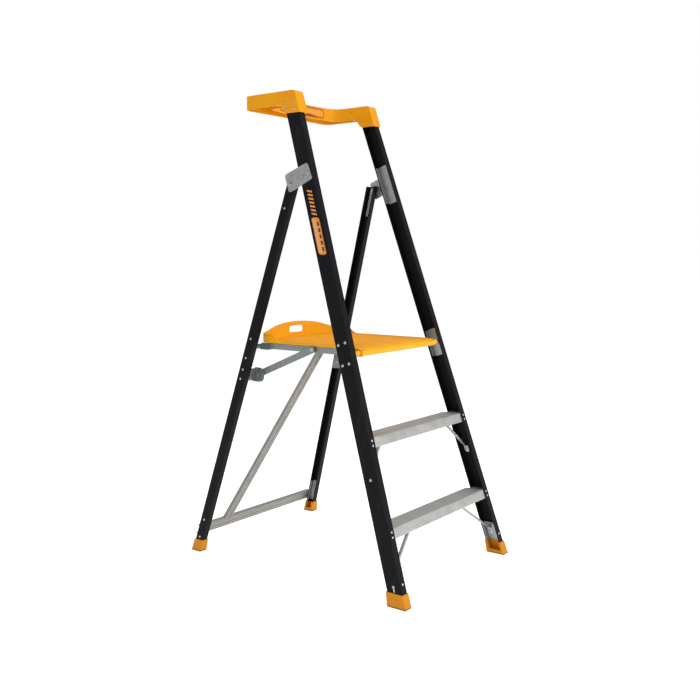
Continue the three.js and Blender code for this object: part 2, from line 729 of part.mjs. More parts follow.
/** A bracket bent from strip: base on the stile's web, leg inwards, flange forwards. */
function bentBracket(side, base, flange) {
  const inner = REAR.wall + GAP;
  const middle = (flange.low + flange.high) / 2;
  const leg = { front: 8, back: 11, half: (flange.high - flange.low) / 2 - 4 };
  const reach = webX(REAR, middle) - flange.x + 8;
  const foot = alongStile(REAR, side, rectangle(inner, leg.front, inner + 3, 33), base.low, base.high);
  const web = alongStile(REAR, side, rectangle(inner + 1, leg.front, reach, leg.back),
    middle - leg.half, middle + leg.half);
  const trim = acrossX(rectangle(100, 600, 400, 1000), ...span(side, 100, flange.x));
  const plate = acrossX(outline([
    [...onStile(REAR, leg.back - 0.5, flange.low), 2],
    [...onStile(REAR, leg.back - 0.5, flange.high), 2],
    [flange.front, flange.high, flange.round], [flange.front, flange.low, flange.round],
  ]), ...span(side, flange.x, flange.x + flange.thickness));
  return join(foot, cut(web, trim), plate);
}

function makeRestBracket(side) {
  const x = DECK.half + GAP;
  const flange = { x, thickness: 2.8, front: 203, round: 6, low: RAIL.low - 3.3, high: RAIL.high - 0.5 };
  const body = bentBracket(side, { low: 806, high: 897 }, flange);
  const [from, to] = span(side, x - 17, x + 1);
  const seat = acrossX(rectangle(204, RAIL.low - 3.3, 232, RAIL.low - GAP), from, to);
  return piece(`${sideName(side)}_rest_bracket`, 'galvanised', join(body, seat));
}

function makeArmBracket(side) {
  const flange = { x: ARM.outer + GAP, thickness: 3, front: 223, round: 27, low: 714, high: 771 };
  const body = bentBracket(side, { low: 720, high: 776 }, flange);
  const hole = drill(side, ARM_FOOT, 4 + GAP, 200, 300);
  return piece(`${sideName(side)}_arm_bracket`, 'galvanised', cut(body, hole));
}

// ---- fold arms -----------------------------------------------------------------------------------

/** Flat bar with round ends, from the arm bracket up to the platform rail. */
function makeArm(side) {
  const run = new THREE.Vector2(ARM_HEAD.y - ARM_FOOT.y, ARM_HEAD.z - ARM_FOOT.z);
  const half = ARM.width / 2;
  const shape = new THREE.Shape();
  shape.absarc(0, 0, half, Math.PI / 2, 1.5 * Math.PI);
  shape.absarc(run.length(), 0, half, -Math.PI / 2, Math.PI / 2);
  shape.closePath();
  const [from, to] = span(side, ARM.inner, ARM.outer);
  const matrix = new THREE.Matrix4().makeTranslation(0, ARM_FOOT.y, ARM_FOOT.z)
    .multiply(new THREE.Matrix4().makeRotationX(run.angle()));
  const bar = placed(acrossX(shape, from, to, 8), matrix);
  const holes = [ARM_FOOT, ARM_HEAD].map((centre) => drill(side, centre, 4 + GAP, 200, 300));
  return piece(`${sideName(side)}_fold_arm`, 'galvanised', cut(bar, ...holes));
}

function makeArmFootRivet(side) {
  const face = ARM.outer + 3 + GAP;
  return piece(`${sideName(side)}_arm_lower_rivet`, 'zincPlated', turnedPin(side, ARM_FOOT, [
    [6.5, ARM.inner - 2.3, ARM.inner - GAP], [4, ARM.inner - GAP, face + GAP],
    [7, face + GAP, face + 1.6], [4.5, face + 1.6, face + 2.8],
  ]));
}

function makeArmHeadRivet(side) {
  return piece(`${sideName(side)}_arm_upper_rivet`, 'zincPlated', turnedPin(side, ARM_HEAD, [
    [9, DECK.half + GAP, ARM.inner - GAP], [4, ARM.inner - GAP, ARM.outer + GAP],
    [7, ARM.outer + GAP, ARM.outer + 1.6], [4.5, ARM.outer + 1.6, ARM.outer + 2.8],
  ]));
}

// ---- assembly ------------------------------------------------------------------------------------

function makeFrontFrame() {
  const frame = new THREE.Group();
  [LEFT, RIGHT].forEach((side) => {
    const name = sideName(side);
    const hingeHoles = HINGE_RIVETS.map(([y, z]) => ({ y, z, radius: 4 }));
    frame.add(makeStile(`${name}_front_stile`, FRONT, side, hingeHoles));
    frame.add(makeShoe(`${name}_front_shoe`, FRONT, side, SHOE.frontTop));
    frame.add(makeSole(`${name}_front_sole`, FRONT, side));
    frame.add(makeCornerPlate(side));
    frame.add(makeHingePlate(side), makeBackingPlate(side));
    frame.add(makeHingeSpacer(side), makeHingePin(side));
    frame.add(makeHingeRivet(`${name}_hinge_front_rivet`, side, HINGE_RIVETS[0]));
    frame.add(makeHingeRivet(`${name}_hinge_rear_rivet`, side, HINGE_RIVETS[1]));
    frame.add(makePlatformBracket(side));
    Object.entries(TREAD_TOPS).forEach(([level, top]) => {
      frame.add(makeStrut(`${name}_${level}_strut`, side, STRUT_FEET[level], top, STRUT_REACH[level]));
    });
  });
  Object.entries(TREAD_TOPS).forEach(([level, top]) => {
    frame.add(makeTread(`${level}_tread`, top));
  });
  frame.add(makeCap(), makePivotRod());
  return frame;
}

function makeRearFrame() {
  const frame = new THREE.Group();
  [LEFT, RIGHT].forEach((side) => {
    const name = sideName(side);
    frame.add(makeStile(`${name}_rear_stile`, REAR, side, [{ ...HINGE, radius: HINGE.pinRadius }]));
    frame.add(makeShoe(`${name}_rear_shoe`, REAR, side, SHOE.rearTop));
    frame.add(makeSole(`${name}_rear_sole`, REAR, side));
    frame.add(makeRearStrap(side), makeFootBracket(side));
    frame.add(makeRestBracket(side), makeArmBracket(side));
  });
  frame.add(makeLowerBrace(), makeDiagonalBrace());
  return frame;
}

function makePlatform() {
  const platform = new THREE.Group();
  platform.add(makeDeck(), makeCrossBar('platform_rear_bar', 190), makeCrossBar('platform_middle_bar', -20));
  [LEFT, RIGHT].forEach((side) => platform.add(makeRail(side)));
  return platform;
}

function makeArms() {
  const arms = new THREE.Group();
  [LEFT, RIGHT].forEach((side) => {
    arms.add(makeArm(side), makeArmFootRivet(side), makeArmHeadRivet(side));
  });
  return arms;
}

const stepLadder = new THREE.Group();
stepLadder.add(makeFrontFrame(), makeRearFrame(), makePlatform(), makeArms());

export default stepLadder;
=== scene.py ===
"""Looks of the platform step ladder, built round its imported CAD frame.

Lengths are in metres. The ladder stands on the floor at the origin, the climber faces
+Y, and left is -X. Each sub-assembly is a class that holds its sizes, builds its meshes
and dresses them in its finishes.
"""

import logging
import math
from dataclasses import dataclass, replace
from enum import Enum
from typing import Any, Callable, Iterable, Optional, Sequence, Union

import bmesh
import bpy
from mathutils import Matrix, Vector


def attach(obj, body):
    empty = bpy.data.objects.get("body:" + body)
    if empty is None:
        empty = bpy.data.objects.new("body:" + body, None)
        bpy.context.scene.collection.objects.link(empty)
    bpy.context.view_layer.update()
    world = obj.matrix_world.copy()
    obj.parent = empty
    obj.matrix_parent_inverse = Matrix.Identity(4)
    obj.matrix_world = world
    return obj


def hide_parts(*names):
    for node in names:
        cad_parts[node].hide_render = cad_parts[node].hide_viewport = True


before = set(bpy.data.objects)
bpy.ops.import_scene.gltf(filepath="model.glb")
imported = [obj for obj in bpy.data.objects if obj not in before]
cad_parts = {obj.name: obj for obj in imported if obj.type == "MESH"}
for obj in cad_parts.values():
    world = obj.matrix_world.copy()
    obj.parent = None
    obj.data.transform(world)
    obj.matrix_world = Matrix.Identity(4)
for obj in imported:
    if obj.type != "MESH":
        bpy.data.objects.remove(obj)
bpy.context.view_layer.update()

LOG = logging.getLogger("ladder")
MM = 0.001
SHARP_ANGLE = math.radians(32)
FLAT_ANGLE = math.radians(0.4)
WELD = 1e-6
WELD_NODE = 2e-6
SHEET_EDGE = 0.5 * MM
HEAD_STEPS = 18

Point2 = tuple[float, float]
Point3 = tuple[float, float, float]
Colour = Point3
Place = Callable[[float, float, float], Vector]


class Side(Enum):
    """The two sides of the ladder, with the sign of their X."""

    LEFT = -1
    RIGHT = 1

    @property
    def label(self) -> str:
        """The side's word in a piece's name."""
        return self.name.lower()


class Body(Enum):
    """The bodies of the folding linkage that pieces ride on."""

    FRONT = "front_frame"
    REAR = "rear_frame"
    PLATFORM = "platform"
    LEFT_ARM = "left_arm"
    RIGHT_ARM = "right_arm"


class Slot(Enum):
    """The record's material slots."""

    FIBREGLASS = "fibreglass"
    YELLOW = "yellow_plastic"
    RUBBER = "grey_rubber"
    ALUMINIUM = "mill_aluminium"
    NYLON = "black_nylon"
    ZINC = "zinc_plated_steel"
    GALVANISED = "galvanised_steel"


# ---- shader maths ----


class Signal:
    """An output socket on which Python arithmetic adds Math nodes."""

    def __init__(self, graph: "ShaderGraph", socket: bpy.types.NodeSocket) -> None:
        """Wraps a socket of a graph.

        Args:
            graph: The graph that the socket belongs to.
            socket: The output socket.
        """
        self.graph = graph
        self.socket = socket

    def _math(self, operation: str, first: Any, second: Any) -> "Signal":
        """Adds one Math node on two operands."""
        return self.graph.node("ShaderNodeMath", {"operation": operation}, {0: first, 1: second})

    def __add__(self, other: Any) -> "Signal":
        """Adds a number or a signal."""
        return self._math("ADD", self, other)

    def __radd__(self, other: Any) -> "Signal":
        """Adds this signal to a number."""
        return self._math("ADD", other, self)

    def __sub__(self, other: Any) -> "Signal":
        """Takes away a number or a signal."""
        return self._math("SUBTRACT", self, other)

    def __rsub__(self, other: Any) -> "Signal":
        """Takes this signal away from a number."""
        return self._math("SUBTRACT", other, self)

    def __mul__(self, other: Any) -> "Signal":
        """Multiplies by a number or a signal."""
        return self._math("MULTIPLY", self, other)

    def __rmul__(self, other: Any) -> "Signal":
        """Multiplies a number by this signal."""
        return self._math("MULTIPLY", other, self)

    def clamped(self) -> "Signal":
        """This signal held between 0 and 1."""
        return self.graph.node(
            "ShaderNodeMath", {"operation": "ADD", "use_clamp": True}, {0: self, 1: 0.0}
        )


class ShaderGraph:
    """The nodes of one material, from its coordinates to its surface."""

    def __init__(self, name: str) -> None:
        """Makes an empty material with a Principled surface.

        Args:
            name: The material's name.
        """
        self.material = bpy.data.materials.new(name)
        self.material.use_nodes = True
        self.tree = self.material.node_tree
        self.tree.nodes.clear()
        output = self.tree.nodes.new("ShaderNodeOutputMaterial")
        self.surface = self.tree.nodes.new("ShaderNodeBsdfPrincipled")
        self.tree.links.new(self.surface.outputs[0], output.inputs["Surface"])
        self.coordinates = self.node("ShaderNodeTexCoord", output="Object")

    def node(
        self,
        kind: str,
        settings: Optional[dict[str, Any]] = None,
        inputs: Optional[dict[Union[int, str], Any]] = None,
        output: Union[int, str] = 0,
    ) -> Signal:
        """Adds a node.

        Args:
            kind: The node's type name.
            settings: Attributes set first; "stops" are a ramp's positions and colours.
            inputs: Values or signals for the node's input sockets.
            output: The output socket to return.

        Returns:
            The chosen output as a signal.
        """
        made = self.tree.nodes.new(kind)
        for key, value in (settings or {}).items():
            if key == "stops":
                self._set_stops(made.color_ramp, value)
            else:
                setattr(made, key, value)
        for key, value in (inputs or {}).items():
            self.feed(made.inputs[key], value)
        return Signal(self, made.outputs[output])

    @staticmethod
    def _set_stops(ramp: bpy.types.ColorRamp, stops: Sequence[tuple[float, Colour]]) -> None:
        """Gives a ramp its stops."""
        while len(ramp.elements) < len(stops):
            ramp.elements.new(1.0)
        for element, (position, colour) in zip(ramp.elements, stops):
            element.position = position
            element.color = (*colour, 1.0)

    def feed(self, socket: bpy.types.NodeSocket, value: Any) -> None:
        """Links a signal to a socket, or sets the socket's value."""
        if isinstance(value, Signal):
            self.tree.links.new(value.socket, socket)
        elif socket.type == "RGBA" and len(value) == 3:
            socket.default_value = (*value, 1.0)
        else:
            socket.default_value = value

    def set(self, **values: Any) -> None:
        """Feeds the surface's sockets, named with underscores for spaces."""
        for key, value in values.items():
            self.feed(self.surface.inputs[key.replace("_", " ")], value)

    def stretched(self, scale: Point3, turn: Point3 = (0.0, 0.0, 0.0)) -> Signal:
        """Object coordinates turned and then scaled on each axis.

        Args:
            scale: How many pattern units one metre holds along each axis.
            turn: Rotation in radians that brings the grain onto the axes.

        Returns:
            The coordinates as a vector signal.
        """
        turned = self.node(
            "ShaderNodeMapping", {"vector_type": "POINT"},
            {"Vector": self.coordinates, "Rotation": turn},
        )
        return self.node(
            "ShaderNodeMapping", {"vector_type": "POINT"}, {"Vector": turned, "Scale": scale}
        )

    def noise(self, vector: Signal, scale: float, detail: float = 2.0, rough: float = 0.5) -> Signal:
        """Noise between 0 and 1.

        Args:
            vector: The coordinates.
            scale: The noise's scale.
            detail: Number of octaves.
            rough: How much the finer octaves count.

        Returns:
            The noise as a value signal.
        """
        return self.node(
            "ShaderNodeTexNoise", {"noise_dimensions": "3D"},
            {"Vector": vector, "Scale": scale, "Detail": detail, "Roughness": rough},
        )

    def mix(self, factor: Any, first: Any, second: Any) -> Signal:
        """Blends two colours by a factor."""
        made = self.tree.nodes.new("ShaderNodeMix")
        made.data_type = "RGBA"
        for socket, value in zip((made.inputs[0], made.inputs[6], made.inputs[7]),
                                 (factor, first, second)):
            self.feed(socket, value)
        return Signal(self, made.outputs[2])

    def stepped(self, value: Signal, low: float, high: float) -> Signal:
        """A smooth step of a value signal between two levels."""
        return self.node(
            "ShaderNodeMapRange", {"interpolation_type": "SMOOTHSTEP"},
            {"Value": value, "From Min": low, "From Max": high},
        )

    def bump(self, height: Signal, depth: float, strength: float = 1.0) -> None:
        """Feeds the surface's normal from a height signal.

        Args:
            height: Height between 0 and 1.
            depth: The height of 1 in metres.
            strength: How much of the bump shows.
        """
        self.set(Normal=self.node(
            "ShaderNodeBump", {}, {"Height": height, "Distance": depth, "Strength": strength}
        ))


# ---- finishes ----


@dataclass(frozen=True)
class Finish:
    """A surface finish that can dress pieces; each kind paints its own material."""

    slot: Slot
    name: str

    def paint(self, graph: ShaderGraph) -> None:
        """Adds the finish's nodes to a graph."""
        raise NotImplementedError

    def material(self) -> bpy.types.Material:
        """The finish's material, made the first time it is asked for."""
        made = bpy.data.materials.get(self.name)
        if made is None:
            graph = ShaderGraph(self.name)
            self.paint(graph)
            made = graph.material
        return made

    def dress(self, piece: bpy.types.Object) -> None:
        """Gives a piece this finish in every one of its material slots."""
        material = self.material()
        if not piece.material_slots:
            piece.data.materials.append(material)
        for slot in piece.material_slots:
            slot.material = material


@dataclass(frozen=True)
class Fibreglass(Finish):
    """Pultruded glass fibre: near black, satin, with fine streaks up the stile."""

    slot: Slot = Slot.FIBREGLASS
    name: str = "fibreglass_satin_black"
    dark: Colour = (0.0042, 0.0040, 0.0050)
    light: Colour = (0.0115, 0.0110, 0.0135)
    lean: float = 0.0

    def paint(self, graph: ShaderGraph) -> None:
        """Streaks along the pull direction, a faint veil and dusty handling marks."""
        along = graph.stretched((1.0, 1.0, 0.022), (self.lean, 0.0, 0.0))
        streaks = graph.noise(along, 520.0, 3.0, 0.6)
        veil = graph.noise(graph.coordinates, 260.0, 4.0, 0.62)
        scuffs = graph.stepped(graph.noise(graph.stretched((1.0, 1.0, 0.3)), 14.0, 5.0, 0.7), 0.52, 0.8)
        tone = (0.6 * streaks + 0.4 * veil).clamped()
        base = graph.mix(graph.stepped(tone, 0.35, 0.7), self.dark, self.light)
        graph.set(
            Base_Color=graph.mix(0.12 * scuffs, base, (0.07, 0.068, 0.07)),
            Roughness=0.36 + 0.12 * streaks + 0.14 * scuffs,
            Specular_IOR_Level=0.07,
        )
        graph.bump(0.7 * streaks + 0.3 * veil, 0.00022, 0.5)


@dataclass(frozen=True)
class MouldedPlastic(Finish):
    """Injection-moulded plastic with a spark-eroded grain."""

    slot: Slot = Slot.YELLOW
    name: str = "moulded_yellow"
    colour: Colour = (0.91, 0.375, 0.006)
    shade: Colour = (0.82, 0.31, 0.004)
    roughness: float = 0.38
    grime: float = 0.12
    gloss: float = 0.13

    def paint(self, graph: ShaderGraph) -> None:
        """Grain, slow flow-line variation of colour, and light grime."""
        grain = graph.noise(graph.coordinates, 1400.0, 2.0, 0.5)
        flow = graph.noise(graph.stretched((1.0, 0.45, 0.8)), 9.0, 3.0, 0.55)
        grime = graph.stepped(graph.noise(graph.coordinates, 38.0, 6.0, 0.68), 0.55, 0.8)
        base = graph.mix(graph.stepped(flow, 0.3, 0.75), self.colour, self.shade)
        graph.set(
            Base_Color=graph.mix(self.grime * grime, base, (0.22, 0.13, 0.04)),
            Roughness=self.roughness + 0.08 * grain + 0.16 * grime,
            Specular_IOR_Level=self.gloss,
        )
        graph.bump(grain, 0.00012, 0.55)


@dataclass(frozen=True)
class MillAluminium(Finish):
    """Extruded aluminium as it leaves the die, with draw lines along its length."""

    slot: Slot = Slot.ALUMINIUM
    name: str = "mill_aluminium_level"
    bright: Colour = (0.48, 0.475, 0.46)
    dull: Colour = (0.37, 0.365, 0.35)
    # Colour of upward faces: painted shade for the darker look of the ribbed tops.
    worn_top: Colour = (0.43, 0.42, 0.40)
    turn: float = 0.0

    def paint(self, graph: ShaderGraph) -> None:
        """Draw lines, oxide clouds, a few rubbed patches, and painted shade that darkens upward faces."""
        along = graph.stretched((0.012, 1.0, 1.0), (0.0, self.turn, 0.0))
        lines = graph.noise(along, 900.0, 3.0, 0.65)
        clouds = graph.noise(graph.coordinates, 24.0, 4.0, 0.6)
        rubs = graph.stepped(graph.noise(graph.stretched((0.4, 1.0, 1.0)), 60.0, 5.0, 0.7), 0.58, 0.78)
        # Faces turned upwards are darkened: painted shade standing in for the shading of the ribbed tops.
        normal = graph.node("ShaderNodeTexCoord", output="Normal")
        upward = graph.node("ShaderNodeSeparateXYZ", {}, {"Vector": normal}, "Z")
        top_shade = graph.stepped(upward, 0.6, 0.98)
        clean = graph.mix(graph.stepped(0.55 * lines + 0.45 * clouds, 0.34, 0.66), self.dull, self.bright)
        base = graph.mix(0.75 * top_shade, clean, self.worn_top)
        graph.set(
            Base_Color=graph.mix(0.25 * rubs, base, (0.60, 0.59, 0.575)),
            Metallic=0.7,
            Roughness=0.44 + 0.12 * clouds - 0.1 * rubs,
        )
        graph.bump(lines, 0.00010, 0.6)


@dataclass(frozen=True)
class Galvanised(Finish):
    """Zinc-coated steel strip with a small spangle."""

    slot: Slot = Slot.GALVANISED
    name: str = "galvanised_strip"
    light: Colour = (0.46, 0.465, 0.455)
    dark: Colour = (0.27, 0.275, 0.27)
    oxide: Colour = (0.32, 0.325, 0.32)

    def paint(self, graph: ShaderGraph) -> None:
        """Spangle cells that differ in tone and gloss, with dull oxide over them."""
        warped = graph.noise(graph.coordinates, 70.0, 2.0, 0.5)
        cells = graph.node(
            "ShaderNodeTexVoronoi", {"feature": "F1"},
            {"Vector": graph.coordinates, "Scale": 190.0, "Randomness": 1.0}, "Color",
        )
        flake = graph.node("ShaderNodeSeparateColor", {}, {"Color": cells}, "Red")
        oxide = graph.stepped(graph.noise(graph.coordinates, 45.0, 5.0, 0.65), 0.42, 0.75)
        tone = (0.55 * flake + 0.45 * warped).clamped()
        base = graph.mix(tone, self.dark, self.light)
        graph.set(
            Base_Color=graph.mix(0.35 * oxide, base, self.oxide),
            Metallic=0.78,
            Roughness=0.34 + 0.14 * flake + 0.14 * oxide,
        )
        graph.bump(0.5 * flake + 0.5 * warped, 0.00006, 0.4)


@dataclass(frozen=True)
class BrightZinc(Finish):
    """Bright zinc on rivets and pins."""

    slot: Slot = Slot.ZINC
    name: str = "bright_zinc"
    colour: Colour = (0.40, 0.41, 0.42)

    def paint(self, graph: ShaderGraph) -> None:
        """Small dents from setting and a slight yellow tint in places."""
        dents = graph.noise(graph.coordinates, 420.0, 3.0, 0.6)
        tint = graph.noise(graph.coordinates, 90.0, 2.0, 0.5)
        graph.set(
            Base_Color=graph.mix(graph.stepped(tint, 0.45, 0.75), self.colour, (0.56, 0.55, 0.50)),
            Metallic=0.92,
            Roughness=0.22 + 0.16 * dents,
        )
        graph.bump(dents, 0.00012, 0.35)


@dataclass(frozen=True)
class Rubber(Finish):
    """Dull moulded rubber with floor dust."""

    slot: Slot = Slot.RUBBER
    name: str = "sole_rubber"
    colour: Colour = (0.17, 0.11, 0.04)

    def paint(self, graph: ShaderGraph) -> None:
        """Fine pitting with pale dust in patches."""
        pits = graph.noise(graph.coordinates, 900.0, 3.0, 0.6)
        dust = graph.stepped(graph.noise(graph.coordinates, 55.0, 5.0, 0.65), 0.45, 0.75)
        graph.set(
            Base_Color=graph.mix(0.4 * dust, self.colour, (0.28, 0.22, 0.13)),
            Roughness=0.78 + 0.14 * pits,
        )
        graph.bump(pits, 0.00025, 0.6)


@dataclass(frozen=True)
class PrintedFilm(Finish):
    """Printed label film, slightly crazed and satin."""

    slot: Slot = Slot.YELLOW
    name: str = "label_orange"
    colour: Colour = (0.70, 0.225, 0.022)

    def paint(self, graph: ShaderGraph) -> None:
        """Ink density that varies a little under a satin overcoat."""
        ink = graph.noise(graph.coordinates, 210.0, 4.0, 0.6)
        faded = tuple(min(1.0, channel * 1.12 + 0.004) for channel in self.colour)
        graph.set(
            Base_Color=graph.mix(graph.stepped(ink, 0.35, 0.7), self.colour, faded),
            Roughness=0.34 + 0.12 * ink,
            Coat_Weight=0.25,
        )
        graph.bump(ink, 0.00003, 0.4)


@dataclass(frozen=True)
class PaleFloor(Finish):
    """The plain studio floor."""

    slot: Slot = Slot.YELLOW
    name: str = "pale_floor"

    def paint(self, graph: ShaderGraph) -> None:
        """A plain matt white with barely visible mottling."""
        mottle = graph.noise(graph.coordinates, 1.5, 2.0, 0.5)
        graph.set(
            Base_Color=graph.mix(mottle, (0.90, 0.90, 0.90), (0.93, 0.93, 0.93)), Roughness=0.9,
            Emission_Color=(1.0, 1.0, 1.0), Emission_Strength=0.55,
        )


YELLOW = MouldedPlastic(name="moulded_deck_yellow", colour=(0.91, 0.41, 0.009),
                        shade=(0.83, 0.345, 0.006))
# The deck's yellow plastic, painted darker: painted shade for the cap's sides and front.
SHADED_CAP_YELLOW = MouldedPlastic(name="moulded_cap_yellow", colour=(0.76, 0.315, 0.004),
                            shade=(0.68, 0.26, 0.003))
SHOE_YELLOW = MouldedPlastic(name="moulded_shoe_yellow", colour=(0.62, 0.235, 0.007),
                             shade=(0.48, 0.165, 0.004), roughness=0.42, grime=0.4)
GALVANISED = Galvanised()
# A darker copy of the galvanised strip: painted shade for the platform's rails and bars, the fold arms
# and their brackets.
SHADED_GALVANISED = Galvanised(name="dull_galvanised_strip", light=(0.30, 0.325, 0.32),
                             dark=(0.16, 0.18, 0.175), oxide=(0.20, 0.215, 0.21))
STRUT_ZINC = Galvanised(name="pressed_strut_zinc", light=(0.62, 0.64, 0.63),
                        dark=(0.46, 0.48, 0.47), oxide=(0.50, 0.51, 0.50))
ZINC = BrightZinc()
RUBBER = Rubber()
NYLON = MouldedPlastic(slot=Slot.NYLON, name="black_nylon", colour=(0.018, 0.018, 0.019),
                       shade=(0.028, 0.028, 0.03), roughness=0.5, grime=0.1)
ALUMINIUM = MillAluminium()
# A darker copy of the mill aluminium: painted shade for the braces at the back of the ladder.
SHADED_BRACE_ALUMINIUM = MillAluminium(name="mill_aluminium_brace", bright=(0.38, 0.375, 0.36),
                                dull=(0.29, 0.285, 0.27), worn_top=(0.36, 0.355, 0.34))
PRINT_ORANGE = PrintedFilm()
PRINT_TAN = PrintedFilm(name="label_tan", colour=(0.67, 0.31, 0.10))
PRINT_BADGE = PrintedFilm(name="badge_field", colour=(0.76, 0.26, 0.02))
PRINT_DARK = PrintedFilm(name="label_dark", colour=(0.022, 0.014, 0.009))
PRINT_BROWN = PrintedFilm(name="badge_outline", colour=(0.20, 0.055, 0.006))


# ---- meshes ----


def arc(centre: Point2, radius: float, start: float, end: float, steps: int) -> list[Point2]:
    """Points along an arc, both ends included.

    Args:
        centre: The arc's centre.
        radius: Its radius.
        start: First angle in degrees.
        end: Last angle in degrees.
        steps: Number of segments.

    Returns:
        The points.
    """
    angles = (math.radians(start + (end - start) * i / steps) for i in range(steps + 1))
    return [(centre[0] + radius * math.cos(a), centre[1] + radius * math.sin(a)) for a in angles]


def rounded_box(low: Point2, high: Point2, radius: float, steps: int,
                spans: int = 1) -> list[Point2]:
    """A rounded rectangle, with its long sides cut into spans so that it can bend.

    Args:
        low: Lowest corner.
        high: Highest corner.
        radius: Corner radius.
        steps: Segments per corner.
        spans: Segments along the top and bottom sides.

    Returns:
        The outline, anticlockwise.
    """
    x0, y0, x1, y1 = low[0] + radius, low[1] + radius, high[0] - radius, high[1] - radius
    bottom = [(x0 + (x1 - x0) * i / spans, low[1]) for i in range(1, spans)]
    top = [(x1 + (x0 - x1) * i / spans, high[1]) for i in range(1, spans)]
    return (arc((x0, y0), radius, 180, 270, steps) + bottom + arc((x1, y0), radius, 270, 360, steps)
            + arc((x1, y1), radius, 0, 90, steps) + top + arc((x0, y1), radius, 90, 180, steps))


def rectangle(low: Point2, high: Point2) -> list[Point2]:
    """A rectangle's corners, anticlockwise."""
    return [low, (high[0], low[1]), high, (low[0], high[1])]


def in_place(x: float, y: float, z: float) -> Vector:
    """Takes a shape's own directions as the ladder's."""
    return Vector((x, y, z))


@dataclass(frozen=True)
class RivetHead:
    """A domed rivet head; a dimpled one shows its mandrel's hole."""

    radius: float
    height: float
    dimpled: bool = False

    def profile(self) -> list[Point2]:
        """The (radius, height) points, from the axis under the head to the axis on top."""
        dome = [(0.0, -0.5), (1.0, -0.5), (1.0, 0.22), (0.93, 0.5), (0.72, 0.83), (0.42, 1.0)]
        crown = [(0.2, 1.06), (0.0, 1.08)]
        hole = [(0.34, 0.96), (0.28, 0.45), (0.0, 0.4)]
        points = dome + (hole if self.dimpled else crown)
        return [(out * self.radius, up * self.height) for out, up in points]


WEB_HEAD = RivetHead(5.8 * MM, 2.5 * MM, True)
FLANGE_HEAD = RivetHead(4.6 * MM, 2.0 * MM)
FOOT_HEAD = RivetHead(5.4 * MM, 2.2 * MM, True)
REAR_HEAD = RivetHead(4.9 * MM, 2.2 * MM, True)
CAP_HEAD = RivetHead(4.6 * MM, 1.8 * MM, True)
CAP_PLUG = RivetHead(2.6 * MM, 0.7 * MM, True)
STRUT_HEAD = RivetHead(5.2 * MM, 2.6 * MM, True)
TAB_HEAD = RivetHead(4.6 * MM, 2.4 * MM)
PLATE_HEAD = RivetHead(5.2 * MM, 2.4 * MM, True)
BRACE_HEAD = RivetHead(5.0 * MM, 2.4 * MM)


def stand(name: str, data: bpy.types.ID, place: Optional[Matrix] = None) -> bpy.types.Object:
    """Puts an object into the scene.

    Args:
        name: The object's name.
        data: Its mesh, camera or light.
        place: Its place; the origin when left out.

    Returns:
        The object.
    """
    made = bpy.data.objects.new(name, data)
    if place is not None:
        made.matrix_world = place
    bpy.context.scene.collection.objects.link(made)
    return made


